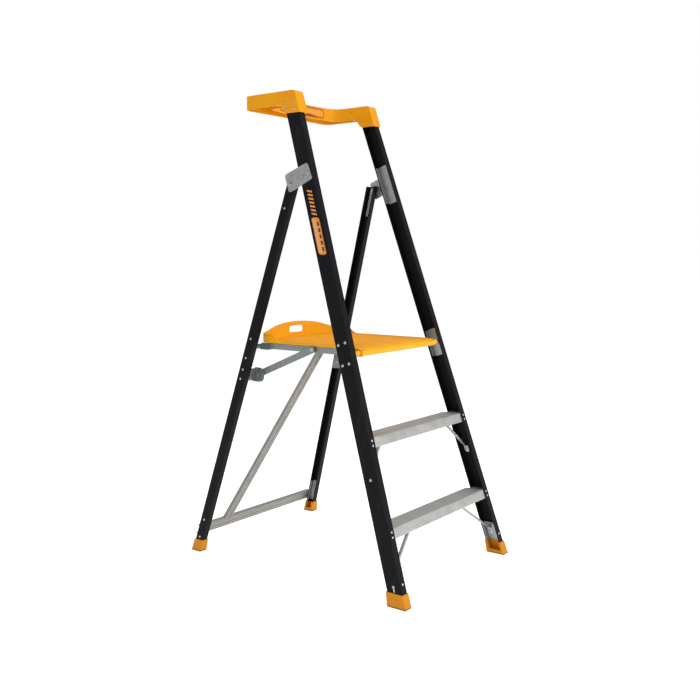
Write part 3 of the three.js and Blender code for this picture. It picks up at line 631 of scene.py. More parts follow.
class Workpiece:
    """A mesh being shaped with bmesh operators, in the ladder's frame."""

    def __init__(self, name: str) -> None:
        """Starts an empty piece.

        Args:
            name: The finished object's name.
        """
        self.name = name
        self.bm = bmesh.new()

    @classmethod
    def from_node(cls, node: str, name: str) -> "Workpiece":
        """Starts from a CAD node's shape, welded and with its flat faces joined.

        Args:
            node: The CAD node.
            name: The new piece's name.

        Returns:
            The workpiece.
        """
        work = cls(name)
        work.bm.from_mesh(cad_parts[node].data)
        bmesh.ops.remove_doubles(work.bm, verts=work.bm.verts, dist=WELD_NODE)
        bmesh.ops.dissolve_limit(
            work.bm, angle_limit=FLAT_ANGLE, use_dissolve_boundaries=False,
            verts=work.bm.verts, edges=work.bm.edges, delimit=set(),
        )
        return work

    def prism(self, outline: Iterable[Point2], low: float, high: float,
              place: Place) -> list[bmesh.types.BMVert]:
        """Extrudes an outline and puts it in place.

        Args:
            outline: The outline's points in the piece's own two directions.
            low: Where the extrusion starts in the third direction.
            high: Where it ends.
            place: Turns the three local directions into a point of the ladder.

        Returns:
            The prism's vertices.
        """
        first = [self.bm.verts.new((a, b, low)) for a, b in outline]
        face = self.bm.faces.new(first)
        grown = bmesh.ops.extrude_face_region(self.bm, geom=[face], use_keep_orig=True)
        second = [item for item in grown["geom"] if isinstance(item, bmesh.types.BMVert)]
        bmesh.ops.translate(self.bm, verts=second, vec=(0.0, 0.0, high - low))
        for vert in first + second:
            vert.co = place(*vert.co)
        return first + second

    def rivet(self, centre: Vector, outwards: Vector, head: RivetHead) -> None:
        """Spins a rivet head's profile into a solid.

        Args:
            centre: The middle of the head, on the surface.
            outwards: The surface's outward normal.
            head: The head's size.
        """
        axis = outwards.normalized()
        across = axis.orthogonal().normalized()
        verts = [self.bm.verts.new(centre + across * r + axis * h) for r, h in head.profile()]
        edges = [self.bm.edges.new(pair) for pair in zip(verts, verts[1:])]
        bmesh.ops.spin(
            self.bm, geom=verts + edges, cent=centre, axis=axis, dvec=(0.0, 0.0, 0.0),
            angle=2 * math.pi, steps=HEAD_STEPS, use_merge=True,
        )

    def bevel(self, edges: Sequence[bmesh.types.BMEdge], width: float, segments: int) -> None:
        """Bevels edges in the mesh itself.

        Args:
            edges: The edges.
            width: The bevel's width.
            segments: Its segments.
        """
        bmesh.ops.bevel(
            self.bm, geom=edges, offset=width, offset_type="OFFSET", segments=segments,
            profile=0.5, affect="EDGES", clamp_overlap=True, material=-1,
        )

    def round_above(self, level: float, width: float, segments: int) -> None:
        """Bevels the sharp edges that lie above a height.

        Args:
            level: The height.
            width: The bevel's width.
            segments: Its segments.
        """
        self.bevel([edge for edge in self.bm.edges
                    if len(edge.link_faces) == 2 and edge.calc_face_angle(0.0) > SHARP_ANGLE
                    and edge.calc_length() > width * 0.4
                    and all(vert.co.z > level for vert in edge.verts)], width, segments)

    def finish(self, finish: Finish, body: Body, replaces: Sequence[str] = (),
               smooth: float = 34.0, bevel: float = 0.0, outwards: bool = True) -> bpy.types.Object:
        """Turns the workpiece into a dressed object that rides on a body.

        Args:
            finish: The surface finish.
            body: The body that it moves with.
            replaces: CAD nodes that this piece stands for.
            smooth: Edges flatter than this many degrees are shaded smooth.
            bevel: Width of a live bevel on the sharp edges, or 0 for none.
            outwards: Whether the normals are worked out again.

        Returns:
            The finished object.
        """
        bmesh.ops.remove_doubles(self.bm, verts=self.bm.verts, dist=WELD)
        if outwards:
            bmesh.ops.recalc_face_normals(self.bm, faces=self.bm.faces)
        mesh = bpy.data.meshes.new(self.name)
        self.bm.to_mesh(mesh)
        self.bm.free()
        mesh.polygons.foreach_set("use_smooth", [True] * len(mesh.polygons))
        mesh.set_sharp_from_angle(angle=math.radians(smooth))
        piece = stand(self.name, mesh)
        if bevel:
            rounding = piece.modifiers.new("rounded_edges", "BEVEL")
            rounding.width = bevel
            rounding.segments = 3
            rounding.limit_method = "ANGLE"
            rounding.angle_limit = SHARP_ANGLE
            rounding.use_clamp_overlap = True
            rounding.harden_normals = True
            rounding.miter_outer = "MITER_ARC"
        finish.dress(piece)
        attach(piece, body.value)
        if replaces:
            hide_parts(*replaces)
        LOG.info("made %s: %d faces, on %s", self.name, len(mesh.polygons), body.value)
        return piece


def rivet_group(name: str, body: Body, head: RivetHead, places: Iterable[Vector],
                outwards: Vector, finish: Finish = ZINC) -> None:
    """Adds a piece that holds the rivet heads of one kind on one surface.

    Args:
        name: The piece's name.
        body: The body that it moves with.
        head: The heads' size.
        places: The middle of each head, on the surface.
        outwards: The surface's outward normal.
        finish: The heads' finish.
    """
    work = Workpiece(name)
    for place in places:
        work.rivet(place, outwards, head)
    work.finish(finish, body)


def soften(node: str, finish: Finish, body: Body, bevel: float = SHEET_EDGE) -> None:
    """Replaces a CAD node by its own shape with rounded edges.

    Args:
        node: The CAD node.
        finish: The surface finish.
        body: The body that it moves with.
        bevel: Width of the rounding.
    """
    work = Workpiece.from_node(node, f"{node}_rounded")
    work.finish(finish, body, [node], bevel=bevel, outwards=False)


def dress_node(node: str, finish: Finish) -> None:
    """Gives a CAD node a finish and keeps its shape."""
    finish.dress(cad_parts[node])
    LOG.info("dressed %s in %s", node, finish.name)


# ---- stiles ----


@dataclass(frozen=True)
class StileFrame:
    """A leaning channel's own directions: inwards from its web, back from its edge, up."""

    outer_x: float
    narrowing: float
    front_y: float
    lean: float
    depth: float
    flange: float
    wall: float

    def web_x(self, z: float) -> float:
        """Distance of the web's outer face from the middle of the ladder."""
        return self.outer_x - self.narrowing * z

    def edge_y(self, z: float) -> float:
        """Y of the front flange at a height."""
        return self.front_y + self.lean * z

    def at(self, side: Side, inwards: float, back: float, z: float) -> Vector:
        """The point of the ladder at a place of this stile.

        Args:
            side: The side of the ladder.
            inwards: Distance in from the web's outer face.
            back: Distance back from the front flange's face.
            z: Height.

        Returns:
            The point.
        """
        return Vector((side.value * (self.web_x(z) - inwards), self.edge_y(z) + back, z))

    def on_web(self, side: Side) -> Place:
        """Places (back, height, inwards) points on a stile's web."""
        return lambda back, z, inwards: self.at(side, inwards, back, z)

    def out(self, side: Side) -> Vector:
        """The web's outward normal."""
        return Vector((side.value, 0.0, self.narrowing)).normalized()

    def forwards(self) -> Vector:
        """The front flange's outward normal."""
        return Vector((0.0, -1.0, self.lean)).normalized()


FRONT = StileFrame(0.3722, 0.0679, -0.5308, 0.3224, 0.0644, 0.0305, 0.004)
REAR = StileFrame(0.372, 0.0736, 0.4903, -0.29864, 0.0405, 0.0271, 0.0036)


@dataclass
class Stiles:
    """The four channel stiles, with the rivets that show on them."""

    front_web_rivets: tuple[Point2, ...] = (
        (0.0497, 0.891), (0.0160, 0.902), (0.0498, 0.819), (0.0188, 0.828), (0.0325, 0.426),
    )
    front_flange_rivets: tuple[float, ...] = (0.082, 0.2365, 0.2535, 0.545, 0.562)
    flange_rivet_in: float = 15.5 * MM
    rear_web_rivets: tuple[Point2, ...] = (
        (0.021, 0.889), (0.021, 0.813), (0.021, 0.767), (0.021, 0.729), (0.021, 1.391),
        (0.020, 0.135), (0.020, 0.060),
    )
    foot_slot: Point3 = (0.0315, 0.053, 0.071)
    slot_half: float = 2.8 * MM
    slot_corner: float = 2.4 * MM

    def build(self) -> None:
        """Dresses the stiles and adds their rivets."""
        for side in Side:
            for end, stile in (("front", FRONT), ("rear", REAR)):
                dress_node(f"{side.label}_{end}_stile",
                           Fibreglass(name=f"fibreglass_{end}", lean=math.atan(stile.lean)))
            self._front_rivets(side)
            rivet_group(f"{side.label}_rear_stile_rivets", Body.REAR, REAR_HEAD,
                        [REAR.at(side, 0.0, back, z) for back, z in self.rear_web_rivets],
                        REAR.out(side))

    def _front_rivets(self, side: Side) -> None:
        """Rivets through a front stile's web and front flange, and the slot at its foot."""
        work = Workpiece(f"{side.label}_front_stile_rivets")
        for back, z in self.front_web_rivets:
            work.rivet(FRONT.at(side, 0.0, back, z), FRONT.out(side), WEB_HEAD)
        for z in self.front_flange_rivets:
            work.rivet(FRONT.at(side, self.flange_rivet_in, 0.0, z), FRONT.forwards(), FLANGE_HEAD)
        back, low, high = self.foot_slot
        work.rivet(FRONT.at(side, 0.0, back, high), FRONT.out(side), FOOT_HEAD)
        slot = rounded_box((back - self.slot_half, low), (back + self.slot_half, high),
                           self.slot_corner, 4)
        work.prism(slot, -0.8 * MM, 0.2 * MM, FRONT.on_web(side))
        work.finish(ZINC, Body.FRONT)


# ---- feet ----


@dataclass
class Feet:
    """Moulded shoes over ribbed soles, with the steel pieces nested in the stiles' feet."""

    shoe_bevel: float = 1.1 * MM
    sole_bevel: float = 0.9 * MM

    def build(self) -> None:
        """Rounds the shoes, the soles and the corner pieces."""
        for side in Side:
            for end, body in (("front", Body.FRONT), ("rear", Body.REAR)):
                soften(f"{side.label}_{end}_shoe", SHOE_YELLOW, body, self.shoe_bevel)
                soften(f"{side.label}_{end}_sole", RUBBER, body, self.sole_bevel)
            soften(f"{side.label}_front_corner_plate", GALVANISED, Body.FRONT)
            soften(f"{side.label}_rear_foot_bracket", GALVANISED, Body.REAR)


# ---- treads and struts ----


@dataclass
class Tread:
    """An extruded tread: ribbed top, deep front skirt, ends notched round the stiles."""

    node: str
    top: float
    strut_foot: float
    strut_reach: float
    front: float = 4.6 * MM
    rear: float = 77.5 * MM
    skirt: float = 34.5 * MM
    skirt_groove: Point2 = (21.8 * MM, 23.4 * MM)
    rear_skirt: float = 24.0 * MM
    wall: float = 2.4 * MM
    rear_wall: float = 2.0 * MM
    nose: float = 1.6 * MM
    rear_nose: float = 1.5 * MM
    relief: float = 0.5 * MM
    slope: float = 0.4 * MM
    plate: float = 2.2 * MM
    plain_front: float = 6.5 * MM
    plain_rear: float = 6.0 * MM
    rib_pitch: float = 5.2 * MM
    rib_depth: float = 0.9 * MM
    rib_groove: float = 2.6 * MM
    tongue: float = 59.0 * MM
    tongue_lap: float = 0.3 * MM
    tip_gap: float = 1.5 * MM
    web_gap: float = 1.3 * MM
    chamfer: float = 1.3
    chamfer_from: float = 60 * MM
    upright_from: float = 40 * MM

    def _outline(self, rear: float, with_rear_skirt: bool) -> list[Point2]:
        """The tread's section as (back, down from the top) points.

        Args:
            rear: How far back the section goes.
            with_rear_skirt: Whether the section turns down at the back.

        Returns:
            The outline.
        """
        front, dent = self.front, self.front + self.relief
        under = -self.plate - self.rib_depth
        high, low = self.skirt_groove
        points = [(front, -self.skirt), (front, -low), (dent, self.slope - low),
                  (dent, -self.slope - high), (front, -high), (front, -self.nose),
                  (dent, -self.relief), (front + self.nose, 0.0)]
        back = front + self.plain_front
        while back < rear - self.plain_rear:
            points += [(back, 0.0), (back + self.relief, -self.rib_depth),
                       (back + self.rib_groove - self.relief, -self.rib_depth),
                       (back + self.rib_groove, 0.0)]
            back += self.rib_pitch
        if with_rear_skirt:
            inside = rear - self.rear_wall
            points += [(rear - self.rear_nose, 0.0), (rear - self.slope, -self.relief),
                       (rear, -self.nose), (rear, -self.rear_skirt), (inside, -self.rear_skirt),
                       (inside, under)]
        else:
            points += [(rear, 0.0), (rear, under)]
        return points + [(front + self.wall, under), (front + self.wall, -self.skirt)]

    def _point(self, sign: float, inwards: float, back: float, down: float) -> Vector:
        """A point of the tread; the front leans with the stiles and the back is upright."""
        z = self.top + down
        upright = -FRONT.lean * down if back > self.upright_from else 0.0
        return Vector((sign * (FRONT.web_x(z) - inwards), FRONT.edge_y(z) + back + upright, z))

    def build(self) -> None:
        """Builds the tread, its end tongues and its struts."""
        work = Workpiece(f"{self.node}_extrusion")
        inwards = FRONT.flange + self.tip_gap

        def across(back: float, down: float, along: float) -> Vector:
            """Spans the tread between the flange tips, with its rear corners cut off."""
            cut = self.chamfer * max(0.0, back - self.chamfer_from)
            return self._point(math.copysign(1.0, along), inwards + cut, back, down)

        work.prism(self._outline(self.rear, True), -1.0, 1.0, across)
        for side in Side:
            work.prism(
                self._outline(self.tongue, False), inwards + self.tongue_lap,
                FRONT.wall + self.web_gap,
                lambda back, down, along: self._point(side.value, along, back, down),
            )
        work.finish(ALUMINIUM, Body.FRONT, [self.node], smooth=25)
        for side in Side:
            Strut(side, self.node.split("_")[0], self.strut_foot, self.top, self.strut_reach).build()


@dataclass
class Strut:
    """A pressed strut from a stile's web up to the underside of a tread."""

    side: Side
    level: str
    foot: float
    top: float
    reach: float
    start: float = 30 * MM
    width: float = 20 * MM
    waist: float = 11 * MM
    gauge: float = 2.4 * MM
    web_gap: float = 0.3 * MM
    corner_plate: float = 3.3 * MM
    tread_gap: float = 3.4 * MM
    foot_half: float = 13 * MM
    foot_corner: float = 8.5 * MM
    tab_from: float = -4 * MM
    tab_to: float = 25 * MM
    tab_rivet: float = 14 * MM
    lap: float = 2 * MM
    lip: float = 6 * MM
    lip_wall: float = 1.8 * MM
    lip_root: Point2 = (0.02, 0.97)
    lip_edge: Point2 = (0.93, 0.09)

    def _place(self, inwards: float, z: float, back: float) -> Vector:
        """Puts a point of the strut into its stile's frame."""
        return FRONT.at(self.side, inwards, back, z)

    def _round_foot(self, work: Workpiece, foot: Sequence[bmesh.types.BMVert]) -> None:
        """Rounds the foot's two lowest corners.

        Args:
            work: The pressing.
            foot: The foot's vertices.
        """
        low = min(vert.co.z for vert in foot)
        corners = [edge for vert in foot for edge in vert.link_edges
                   if all(end.co.z < low + 0.6 * MM for end in edge.verts)
                   and abs(edge.verts[0].co.y - edge.verts[1].co.y) < 1 * MM]
        work.bevel(list(dict.fromkeys(corners)), self.foot_corner, 5)

    def build(self) -> None:
        """Builds the strip with its side lips and rounded foot, and its rivets."""
        gauge, reach = self.gauge, self.reach
        inner = FRONT.wall + self.web_gap + (self.corner_plate if self.level == "lower" else 0.0)
        under = self.top - self.tread_gap
        knee = self.foot + self.foot_half
        end = self.start + self.width
        name = f"{self.side.label}_{self.level}_strut"
        work = Workpiece(f"{name}_pressing")
        foot = work.prism(rectangle((inner, self.foot - self.foot_half), (inner + gauge, knee)),
                          self.start, end, self._place)
        work.prism(rectangle((reach + self.tab_from, under - gauge), (reach + self.tab_to, under)),
                   self.start, end, self._place)
        first = self.start + (self.width - self.waist) / 2
        last = first + self.waist
        work.prism(
            [(inner, knee - self.lap), (inner + gauge + 0.8 * MM, knee - self.lap),
             (reach + self.lap, under - gauge), (reach + self.lap, under), (reach - 1 * MM, under)],
            first, last, self._place,
        )
        self._round_foot(work, foot)
        heel = Vector((inner, knee - self.lap))
        run = Vector((reach - inner, under - knee))
        drop = Vector((run.y, -run.x)).normalized() * self.lip
        lip = [heel + run * share for share in self.lip_root]
        lip += [heel + run * share + drop for share in self.lip_edge]
        for back in (first, last - self.lip_wall):
            work.prism([tuple(point) for point in lip], back, back + self.lip_wall, self._place)
        work.finish(STRUT_ZINC, Body.FRONT, [name], bevel=0.4 * MM)
        heads = Workpiece(f"{name}_rivets")
        middle = self.start + self.width / 2
        heads.rivet(self._place(inner + gauge, self.foot, middle), -FRONT.out(self.side), STRUT_HEAD)
        heads.rivet(self._place(reach + self.tab_rivet, under - gauge, middle),
                    Vector((0.0, 0.0, -1.0)), TAB_HEAD)
        heads.finish(ZINC, Body.FRONT)


# ---- top cap ----


@dataclass
class TopCap:
    """The moulded guard-rail cap, its rivets and its plain badge."""

    outer: float = 0.258
    bevel: float = 2.6 * MM
    rivets: tuple[Point2, ...] = ((0.054, 1.7835), (0.054, 1.758), (0.017, 1.7835), (0.017, 1.758))
    plug_x: float = 0.209
    plug_z: float = 1.805
    plug_ys: tuple[float, ...] = (0.200, 0.143)
    span_y: float = 0.230
    span_bow: float = 10.5 * MM
    span_half: float = 0.157
    badge_half: float = 0.139
    badge_low: float = 1.7815
    badge_high: float = 1.8205
    badge_corner: float = 13 * MM

    def _inner_y(self, x: float) -> float:
        """Y of the rear span's inner face."""
        return self.span_y + self.span_bow * (1 - (x / self.span_half) ** 2)

    def build(self) -> None:
        """Rounds the moulding and adds its fittings."""
        # The cap wears the darker copy of the yellow, which paints its shade.
        soften("top_cap", SHADED_CAP_YELLOW, Body.FRONT, self.bevel)
        for side in Side:
            out = Vector((side.value, 0.0, 0.0))
            rivet_group(f"{side.label}_cap_rivets", Body.FRONT, CAP_HEAD,
                        [Vector((side.value * self.outer, FRONT.edge_y(z) + back, z))
                         for back, z in self.rivets], out)
            rivet_group(f"{side.label}_cap_plugs", Body.FRONT, CAP_PLUG,
                        [Vector((side.value * self.plug_x, y, self.plug_z)) for y in self.plug_ys],
                        -out, PRINT_BROWN)
        self._badge()

    def _badge(self) -> None:
        """A plain rounded badge in four layers on the inner face of the rear span."""
        layers = (("outline", 0.0, 0.5, PRINT_BROWN), ("panel", 3.0, 0.9, SHADED_CAP_YELLOW),
                  ("inner_line", 5.4, 1.2, PRINT_BROWN), ("field", 7.4, 1.5, PRINT_BADGE))
        for name, inset_mm, proud_mm, finish in layers:
            inset = inset_mm * MM
            outline = rounded_box((inset - self.badge_half, self.badge_low + inset),
                                  (self.badge_half - inset, self.badge_high - inset),
                                  self.badge_corner - 0.8 * inset, 6, 14)
            work = Workpiece(f"cap_badge_{name}")
            work.prism(outline, -proud_mm * MM, 1.0 * MM,
                       lambda x, z, off: Vector((x, self._inner_y(x) + off, z)))
            work.finish(finish, Body.FRONT)


# ---- label ----


@dataclass
class StileLabel:
    """A wordless printed label on a front stile's web."""

    side: Side
    back: float = 32.5 * MM
    half: float = 18.5 * MM
    low: float = 1.216
    high: float = 1.352
    marks: int = 5
    mark_pitch: float = 23 * MM
    bars: int = 7
    bar_pitch: float = 14 * MM
    bar_half: float = 11.5 * MM

    def _panel(self, inset: float) -> list[Point2]:
        """The lozenge panel, drawn in by an inset."""
        return rounded_box((self.back - self.half + inset, self.low + inset),
                           (self.back + self.half - inset, self.high - inset),
                           0.55 * self.half - inset, 6)

    def _mark(self, index: int) -> list[Point2]:
        """One of the marks inside the panel."""
        z = self.low + 13 * MM + index * self.mark_pitch
        return rounded_box((self.back - 12.5 * MM, z), (self.back - 3.5 * MM, z + 15 * MM),
                           2.2 * MM, 3)

    def _bar(self, index: int) -> list[Point2]:
        """One of the slanted bars above the panel."""
        z = self.high + 7 * MM + index * self.bar_pitch
        near, far = self.back - self.bar_half, self.back + self.bar_half
        return [(near, z), (far, z + 4 * MM), (far, z + 11 * MM), (near, z + 7 * MM)]

    def build(self) -> None:
        """Prints the panel, its border, its inner marks and the row of bars, in thin layers."""
        tone = rounded_box((self.back + 1.5 * MM, self.low + 7 * MM),
                           (self.back + self.half - 3.6 * MM, self.high - 6 * MM), 3 * MM, 3)
        layers = (
            ("panel", [self._panel(0.0)], 0.20, PRINT_ORANGE),
            ("border", [self._panel(1.6 * MM)], 0.28, PRINT_DARK),
            ("field", [self._panel(2.4 * MM)], 0.36, PRINT_ORANGE),
            ("tone", [tone], 0.42, PRINT_TAN),
            ("marks", [self._mark(i) for i in range(self.marks)], 0.44, PRINT_DARK),
            ("bars", [self._bar(i) for i in range(self.bars)], 0.20, PRINT_ORANGE),
        )
        for name, outlines, proud_mm, finish in layers:
            work = Workpiece(f"{self.side.label}_label_{name}")
            for outline in outlines:
                work.prism(outline, -proud_mm * MM, 0.1 * MM, FRONT.on_web(self.side))
            work.finish(finish, Body.FRONT)


# ---- hinges ----


@dataclass
class Hinges:
    """The plates, pins and rivets that join the rear legs to the front stiles."""

    plate_bevel: float = 0.6 * MM
    spacer_bevel: float = 0.4 * MM
    pin_bevel: float = 0.45 * MM
    plate_rivet: Point2 = (0.043, 1.511)
    plate_face: float = 3.3 * MM

    def build(self) -> None:
        """Rounds the plates, spacers and pins, and adds the backing plates' rivets."""
        for side in Side:
            soften(f"{side.label}_hinge_plate", GALVANISED, Body.FRONT, self.plate_bevel)
            soften(f"{side.label}_hinge_backing_plate", GALVANISED, Body.FRONT, self.plate_bevel)
            soften(f"{side.label}_rear_stile_strap", GALVANISED, Body.REAR, self.plate_bevel)
            soften(f"{side.label}_hinge_spacer", NYLON, Body.FRONT, self.spacer_bevel)
            for part in ("hinge_pin", "hinge_front_rivet", "hinge_rear_rivet"):
                soften(f"{side.label}_{part}", ZINC, Body.FRONT, self.pin_bevel)
            rivet_group(f"{side.label}_backing_plate_rivet", Body.FRONT, PLATE_HEAD,
                        [FRONT.at(side, FRONT.wall + self.plate_face, *self.plate_rivet)],
                        -FRONT.out(side))


# ---- platform ----


@dataclass
class Platform:
    """The folding platform: moulded deck on a steel frame that turns on a rod."""

    top: float = 0.876
    sunk: float = 0.5 * MM
    deck_bevel: float = 1.6 * MM
    rib_pitch: float = 15 * MM
    rib_width: float = 5 * MM
    rib_height: float = 1.1 * MM
    ribs_from: float = -0.222
    ribs_to: float = 0.205
    rib_half: float = 0.205
    border_inner: float = 0.224
    border_outer: float = 0.244
    border_front: float = -0.224
    border_rear: float = 0.17
    border_height: float = 2.4 * MM

    def build(self) -> None:
        """Rounds the deck, adds its ribs and side borders, and dresses its frame."""
        soften("platform_deck", YELLOW, Body.PLATFORM, self.deck_bevel)
        self._raise("ribs", self._ribs(), self.rib_height, 0.7 * MM, 2)
        self._raise("borders", self._borders(), self.border_height, 1.6 * MM, 3)
        # The bars and rails under the deck take the darker galvanised copy, which paints their shade.
        for node in ("platform_rear_bar", "platform_middle_bar"):
            soften(node, SHADED_GALVANISED, Body.PLATFORM)
        for side in Side:
            soften(f"{side.label}_platform_rail", SHADED_GALVANISED, Body.PLATFORM)
            soften(f"{side.label}_platform_bracket", GALVANISED, Body.FRONT)
        dress_node("platform_pivot_rod", ZINC)

    def _raise(self, name: str, outlines: Iterable[Sequence[Point2]], height: float,
               rounding: float, segments: int) -> None:
        """Stands shapes with rounded top edges on the deck.

        Args:
            name: The piece's last word.
            outlines: The shapes, seen from above.
            height: How high they stand.
            rounding: Width of the rounding.
            segments: Its segments.
        """
        work = Workpiece(f"platform_deck_{name}")
        for outline in outlines:
            work.prism(outline, self.top - self.sunk, self.top + height, in_place)
        work.round_above(self.top + height / 2, rounding, segments)
        work.finish(YELLOW, Body.PLATFORM, smooth=50)

    def _ribs(self) -> list[list[Point2]]:
        """Low anti-slip ribs across the deck."""
        count = int((self.ribs_to - self.ribs_from) / self.rib_pitch)
        starts = [self.ribs_from + i * self.rib_pitch for i in range(count)]
        return [rounded_box((-self.rib_half, y), (self.rib_half, y + self.rib_width), 2.3 * MM, 3)
                for y in starts]

    def _borders(self) -> list[list[Point2]]:
        """Raised side borders that run forward from the kickboard's wings."""
        outline = rounded_box((self.border_inner, self.border_front),
                              (self.border_outer, self.border_rear), 9 * MM, 5)
        return [[(side.value * x, y) for x, y in outline] for side in Side]


@dataclass
class FoldArms:
    """The flat bars from the rear stiles to the platform, with their brackets."""

    rivet_bevel: float = 0.4 * MM

    def build(self) -> None:
        """Rounds the arms, their pivots and the brackets."""
        for side, body in ((Side.LEFT, Body.LEFT_ARM), (Side.RIGHT, Body.RIGHT_ARM)):
            # The arms and their brackets take the darker galvanised copy, which paints their shade.
            soften(f"{side.label}_fold_arm", SHADED_GALVANISED, body)
            for part in ("arm_lower_rivet", "arm_upper_rivet"):
                soften(f"{side.label}_{part}", ZINC, body, self.rivet_bevel)
            for part in ("arm_bracket", "rest_bracket"):
                soften(f"{side.label}_{part}", SHADED_GALVANISED, Body.REAR)


# ---- braces ----


@dataclass
class Brace:
    """An aluminium extrusion on the back of the rear stiles."""

    node: str
    start: Point2
    end: Point2
    width: float
    depth: float
    finish: Finish
    stands_on: Optional[Point2] = None
    mitre_run: float = 0.0
    wall: float = 2.2 * MM
    groove: float = 2.4 * MM
    corner: float = 1.2 * MM
    line_half: float = 1.2 * MM
    stile_gap: float = 0.3 * MM
    seat_gap: float = 0.2 * MM
    rivet_in: float = 12 * MM

    def _outline(self) -> list[Point2]:
        """The section: a grooved front face with two legs to the back."""
        width, depth, wall, corner = self.width, self.depth, self.wall, self.corner
        floor = wall + self.groove
        front = [(0.0, corner), (corner, 0.0)]
        for share, half, deep in ((0.2, self.line_half, 0.5 * self.groove),
                                  (0.5, 0.11 * width, self.groove),
                                  (0.8, self.line_half, 0.5 * self.groove)):
            middle = share * width
            front += [(middle - half, 0.0), (middle - 0.7 * half, deep),
                      (middle + 0.7 * half, deep), (middle + half, 0.0)]
        front += [(width - corner, 0.0), (width, corner)]
        return front + [(width, depth), (width - wall, depth), (width - wall, floor),
                        (wall, floor), (wall, depth), (0.0, depth)]

    def _mitre(self, work: Workpiece) -> None:
        """Cuts the lower end to the top face of the brace that it stands on.

        Args:
            work: The extrusion to cut.
        """
        height, half_width = self.stands_on
        upwards = Vector((0.0, REAR.lean, 1.0)).normalized()
        seat = Vector((0.0, REAR.edge_y(height) + REAR.depth + self.seat_gap, height))
        seat += upwards * (half_width + self.seat_gap)
        parts = work.bm.verts[:] + work.bm.edges[:] + work.bm.faces[:]
        cut = bmesh.ops.bisect_plane(work.bm, geom=parts, plane_co=seat, plane_no=upwards,
                                     clear_inner=True)
        rim = [item for item in cut["geom_cut"] if isinstance(item, bmesh.types.BMEdge)]
        bmesh.ops.contextual_create(work.bm, geom=rim)

    def build(self) -> None:
        """Builds the extrusion and the rivets at its ends."""
        (x, z), rise = self.start, self.end[1] - self.start[1]
        along = Vector((self.end[0] - x, rise * REAR.lean, rise))
        length = along.length
        along.normalize()
        outwards = Vector((0.0, 1.0, -REAR.lean)).normalized()
        across = outwards.cross(along).normalized()
        origin = Vector((x, REAR.edge_y(z) + REAR.depth + self.stile_gap, z))
        origin -= across * (self.width / 2)

        def place(w: float, d: float, run: float) -> Vector:
            """Puts a point of the section into the ladder's frame."""
            return origin + across * w + outwards * d + along * run

        work = Workpiece(f"{self.node}_extrusion")
        work.prism(self._outline(), 0.0, length, place)
        if self.stands_on:
            self._mitre(work)
        work.finish(self.finish, Body.REAR, [self.node], smooth=25)
        rivet_group(f"{self.node}_rivets", Body.REAR, BRACE_HEAD,
                    [place(self.width / 2, self.wall + self.groove, run)
                     for run in (self.mitre_run + self.rivet_in, length - self.rivet_in)], outwards)


# ---- studio ----


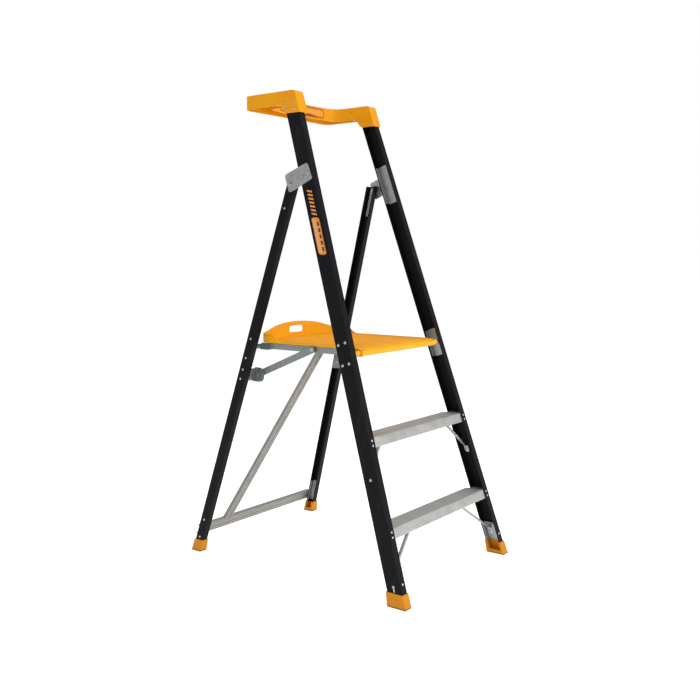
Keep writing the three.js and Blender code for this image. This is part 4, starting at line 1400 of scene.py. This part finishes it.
@dataclass
class Studio:
    """The floor, the camera and the soft lights."""

    camera_at: Point3 = (-2.79996, -2.14920, 1.21817)
    yaw: float = math.radians(52.604)
    pitch: float = math.radians(6.206)
    roll: float = math.radians(-0.113)
    lens: float = 45.372
    floor_radius: float = 40.0

    def build(self) -> None:
        """Sets the stage."""
        self._camera()
        self._floor()
        self._world()
        self._light("key", (0.8, -4.6, 2.2), (0.0, 0.0, 0.9), 3.2, 130.0)
        self._light("fill", (-4.8, -0.4, 2.4), (0.0, 0.0, 0.9), 3.0, 34.0)
        self._light("overhead", (0.4, 0.2, 4.8), (0.0, 0.0, 0.8), 3.6, 60.0)

    @staticmethod
    def _aimed(at: Point3, direction: Vector) -> Matrix:
        """The place of something at a point that looks along a direction."""
        turn = direction.to_track_quat("-Z", "Y").to_matrix().to_4x4()
        return Matrix.Translation(Vector(at)) @ turn

    def _camera(self) -> None:
        """Places the camera."""
        data = bpy.data.cameras.new("camera")
        data.lens = self.lens
        data.sensor_width = 36.0
        forward = Vector((math.sin(self.yaw) * math.cos(self.pitch),
                          math.cos(self.yaw) * math.cos(self.pitch), -math.sin(self.pitch)))
        place = self._aimed(self.camera_at, forward) @ Matrix.Rotation(self.roll, 4, "Z")
        bpy.context.scene.camera = stand("camera", data, place)

    def _floor(self) -> None:
        """A flat round floor that reaches far behind the ladder."""
        bm = bmesh.new()
        bmesh.ops.create_circle(bm, cap_ends=True, radius=self.floor_radius, segments=96)
        mesh = bpy.data.meshes.new("floor")
        bm.to_mesh(mesh)
        bm.free()
        floor = stand("floor", mesh)
        PaleFloor().dress(floor)

    def _world(self) -> None:
        """An even pale surround that the camera sees as white."""
        world = bpy.data.worlds.new("studio")
        world.use_nodes = True
        nodes, links = world.node_tree.nodes, world.node_tree.links
        nodes["Background"].inputs["Color"].default_value = (0.98, 0.99, 1.0, 1.0)
        nodes["Background"].inputs["Strength"].default_value = 0.52
        backdrop = nodes.new("ShaderNodeBackground")
        backdrop.inputs["Color"].default_value = (1.0, 1.0, 1.0, 1.0)
        chooser = nodes.new("ShaderNodeMixShader")
        seen = nodes.new("ShaderNodeLightPath")
        links.new(seen.outputs["Is Camera Ray"], chooser.inputs[0])
        links.new(nodes["Background"].outputs[0], chooser.inputs[1])
        links.new(backdrop.outputs[0], chooser.inputs[2])
        links.new(chooser.outputs[0], nodes["World Output"].inputs["Surface"])
        bpy.context.scene.world = world
        bpy.context.scene.view_settings.view_transform = "Standard"

    def _light(self, name: str, at: Point3, towards: Point3, size: float, power: float) -> None:
        """Adds one soft square light.

        Args:
            name: The light's name.
            at: Where it hangs.
            towards: The point that it faces.
            size: Its side.
            power: Its power in watts.
        """
        data = bpy.data.lights.new(name, "AREA")
        data.size = size
        data.energy = power
        stand(name, data, self._aimed(at, Vector(towards) - Vector(at)))


# ---- the ladder ----


def main() -> None:
    """Builds the ladder in its parts and sets the stage."""
    logging.basicConfig(level=logging.INFO, format="%(name)s: %(message)s")
    brace_z, brace_width = 0.079, 38 * MM
    low, high = (-0.2096, 0.060), (0.283, 0.955)
    grain = math.atan2(high[1] - low[1], high[0] - low[0])
    parts = [
        Studio(),
        Stiles(),
        Feet(),
        Tread("lower_tread", 0.2615, 0.086, 0.216),
        Tread("upper_tread", 0.570, 0.418, 0.132),
        TopCap(),
        StileLabel(Side.LEFT),
        StileLabel(Side.RIGHT),
        Hinges(),
        Platform(),
        FoldArms(),
        # Both braces wear the darker aluminium copy, which paints their shade.
        Brace("lower_rear_brace", (-0.352, brace_z), (0.352, brace_z), brace_width, 19 * MM,
              SHADED_BRACE_ALUMINIUM),
        Brace("diagonal_rear_brace", low, high, brace_width, 15 * MM,
              replace(SHADED_BRACE_ALUMINIUM, name="mill_aluminium_diagonal", turn=grain),
              stands_on=(brace_z, brace_width / 2), mitre_run=48 * MM),
    ]
    for part in parts:
        part.build()
        LOG.info("built %s", type(part).__name__)


if __name__ == "__main__":
    main()
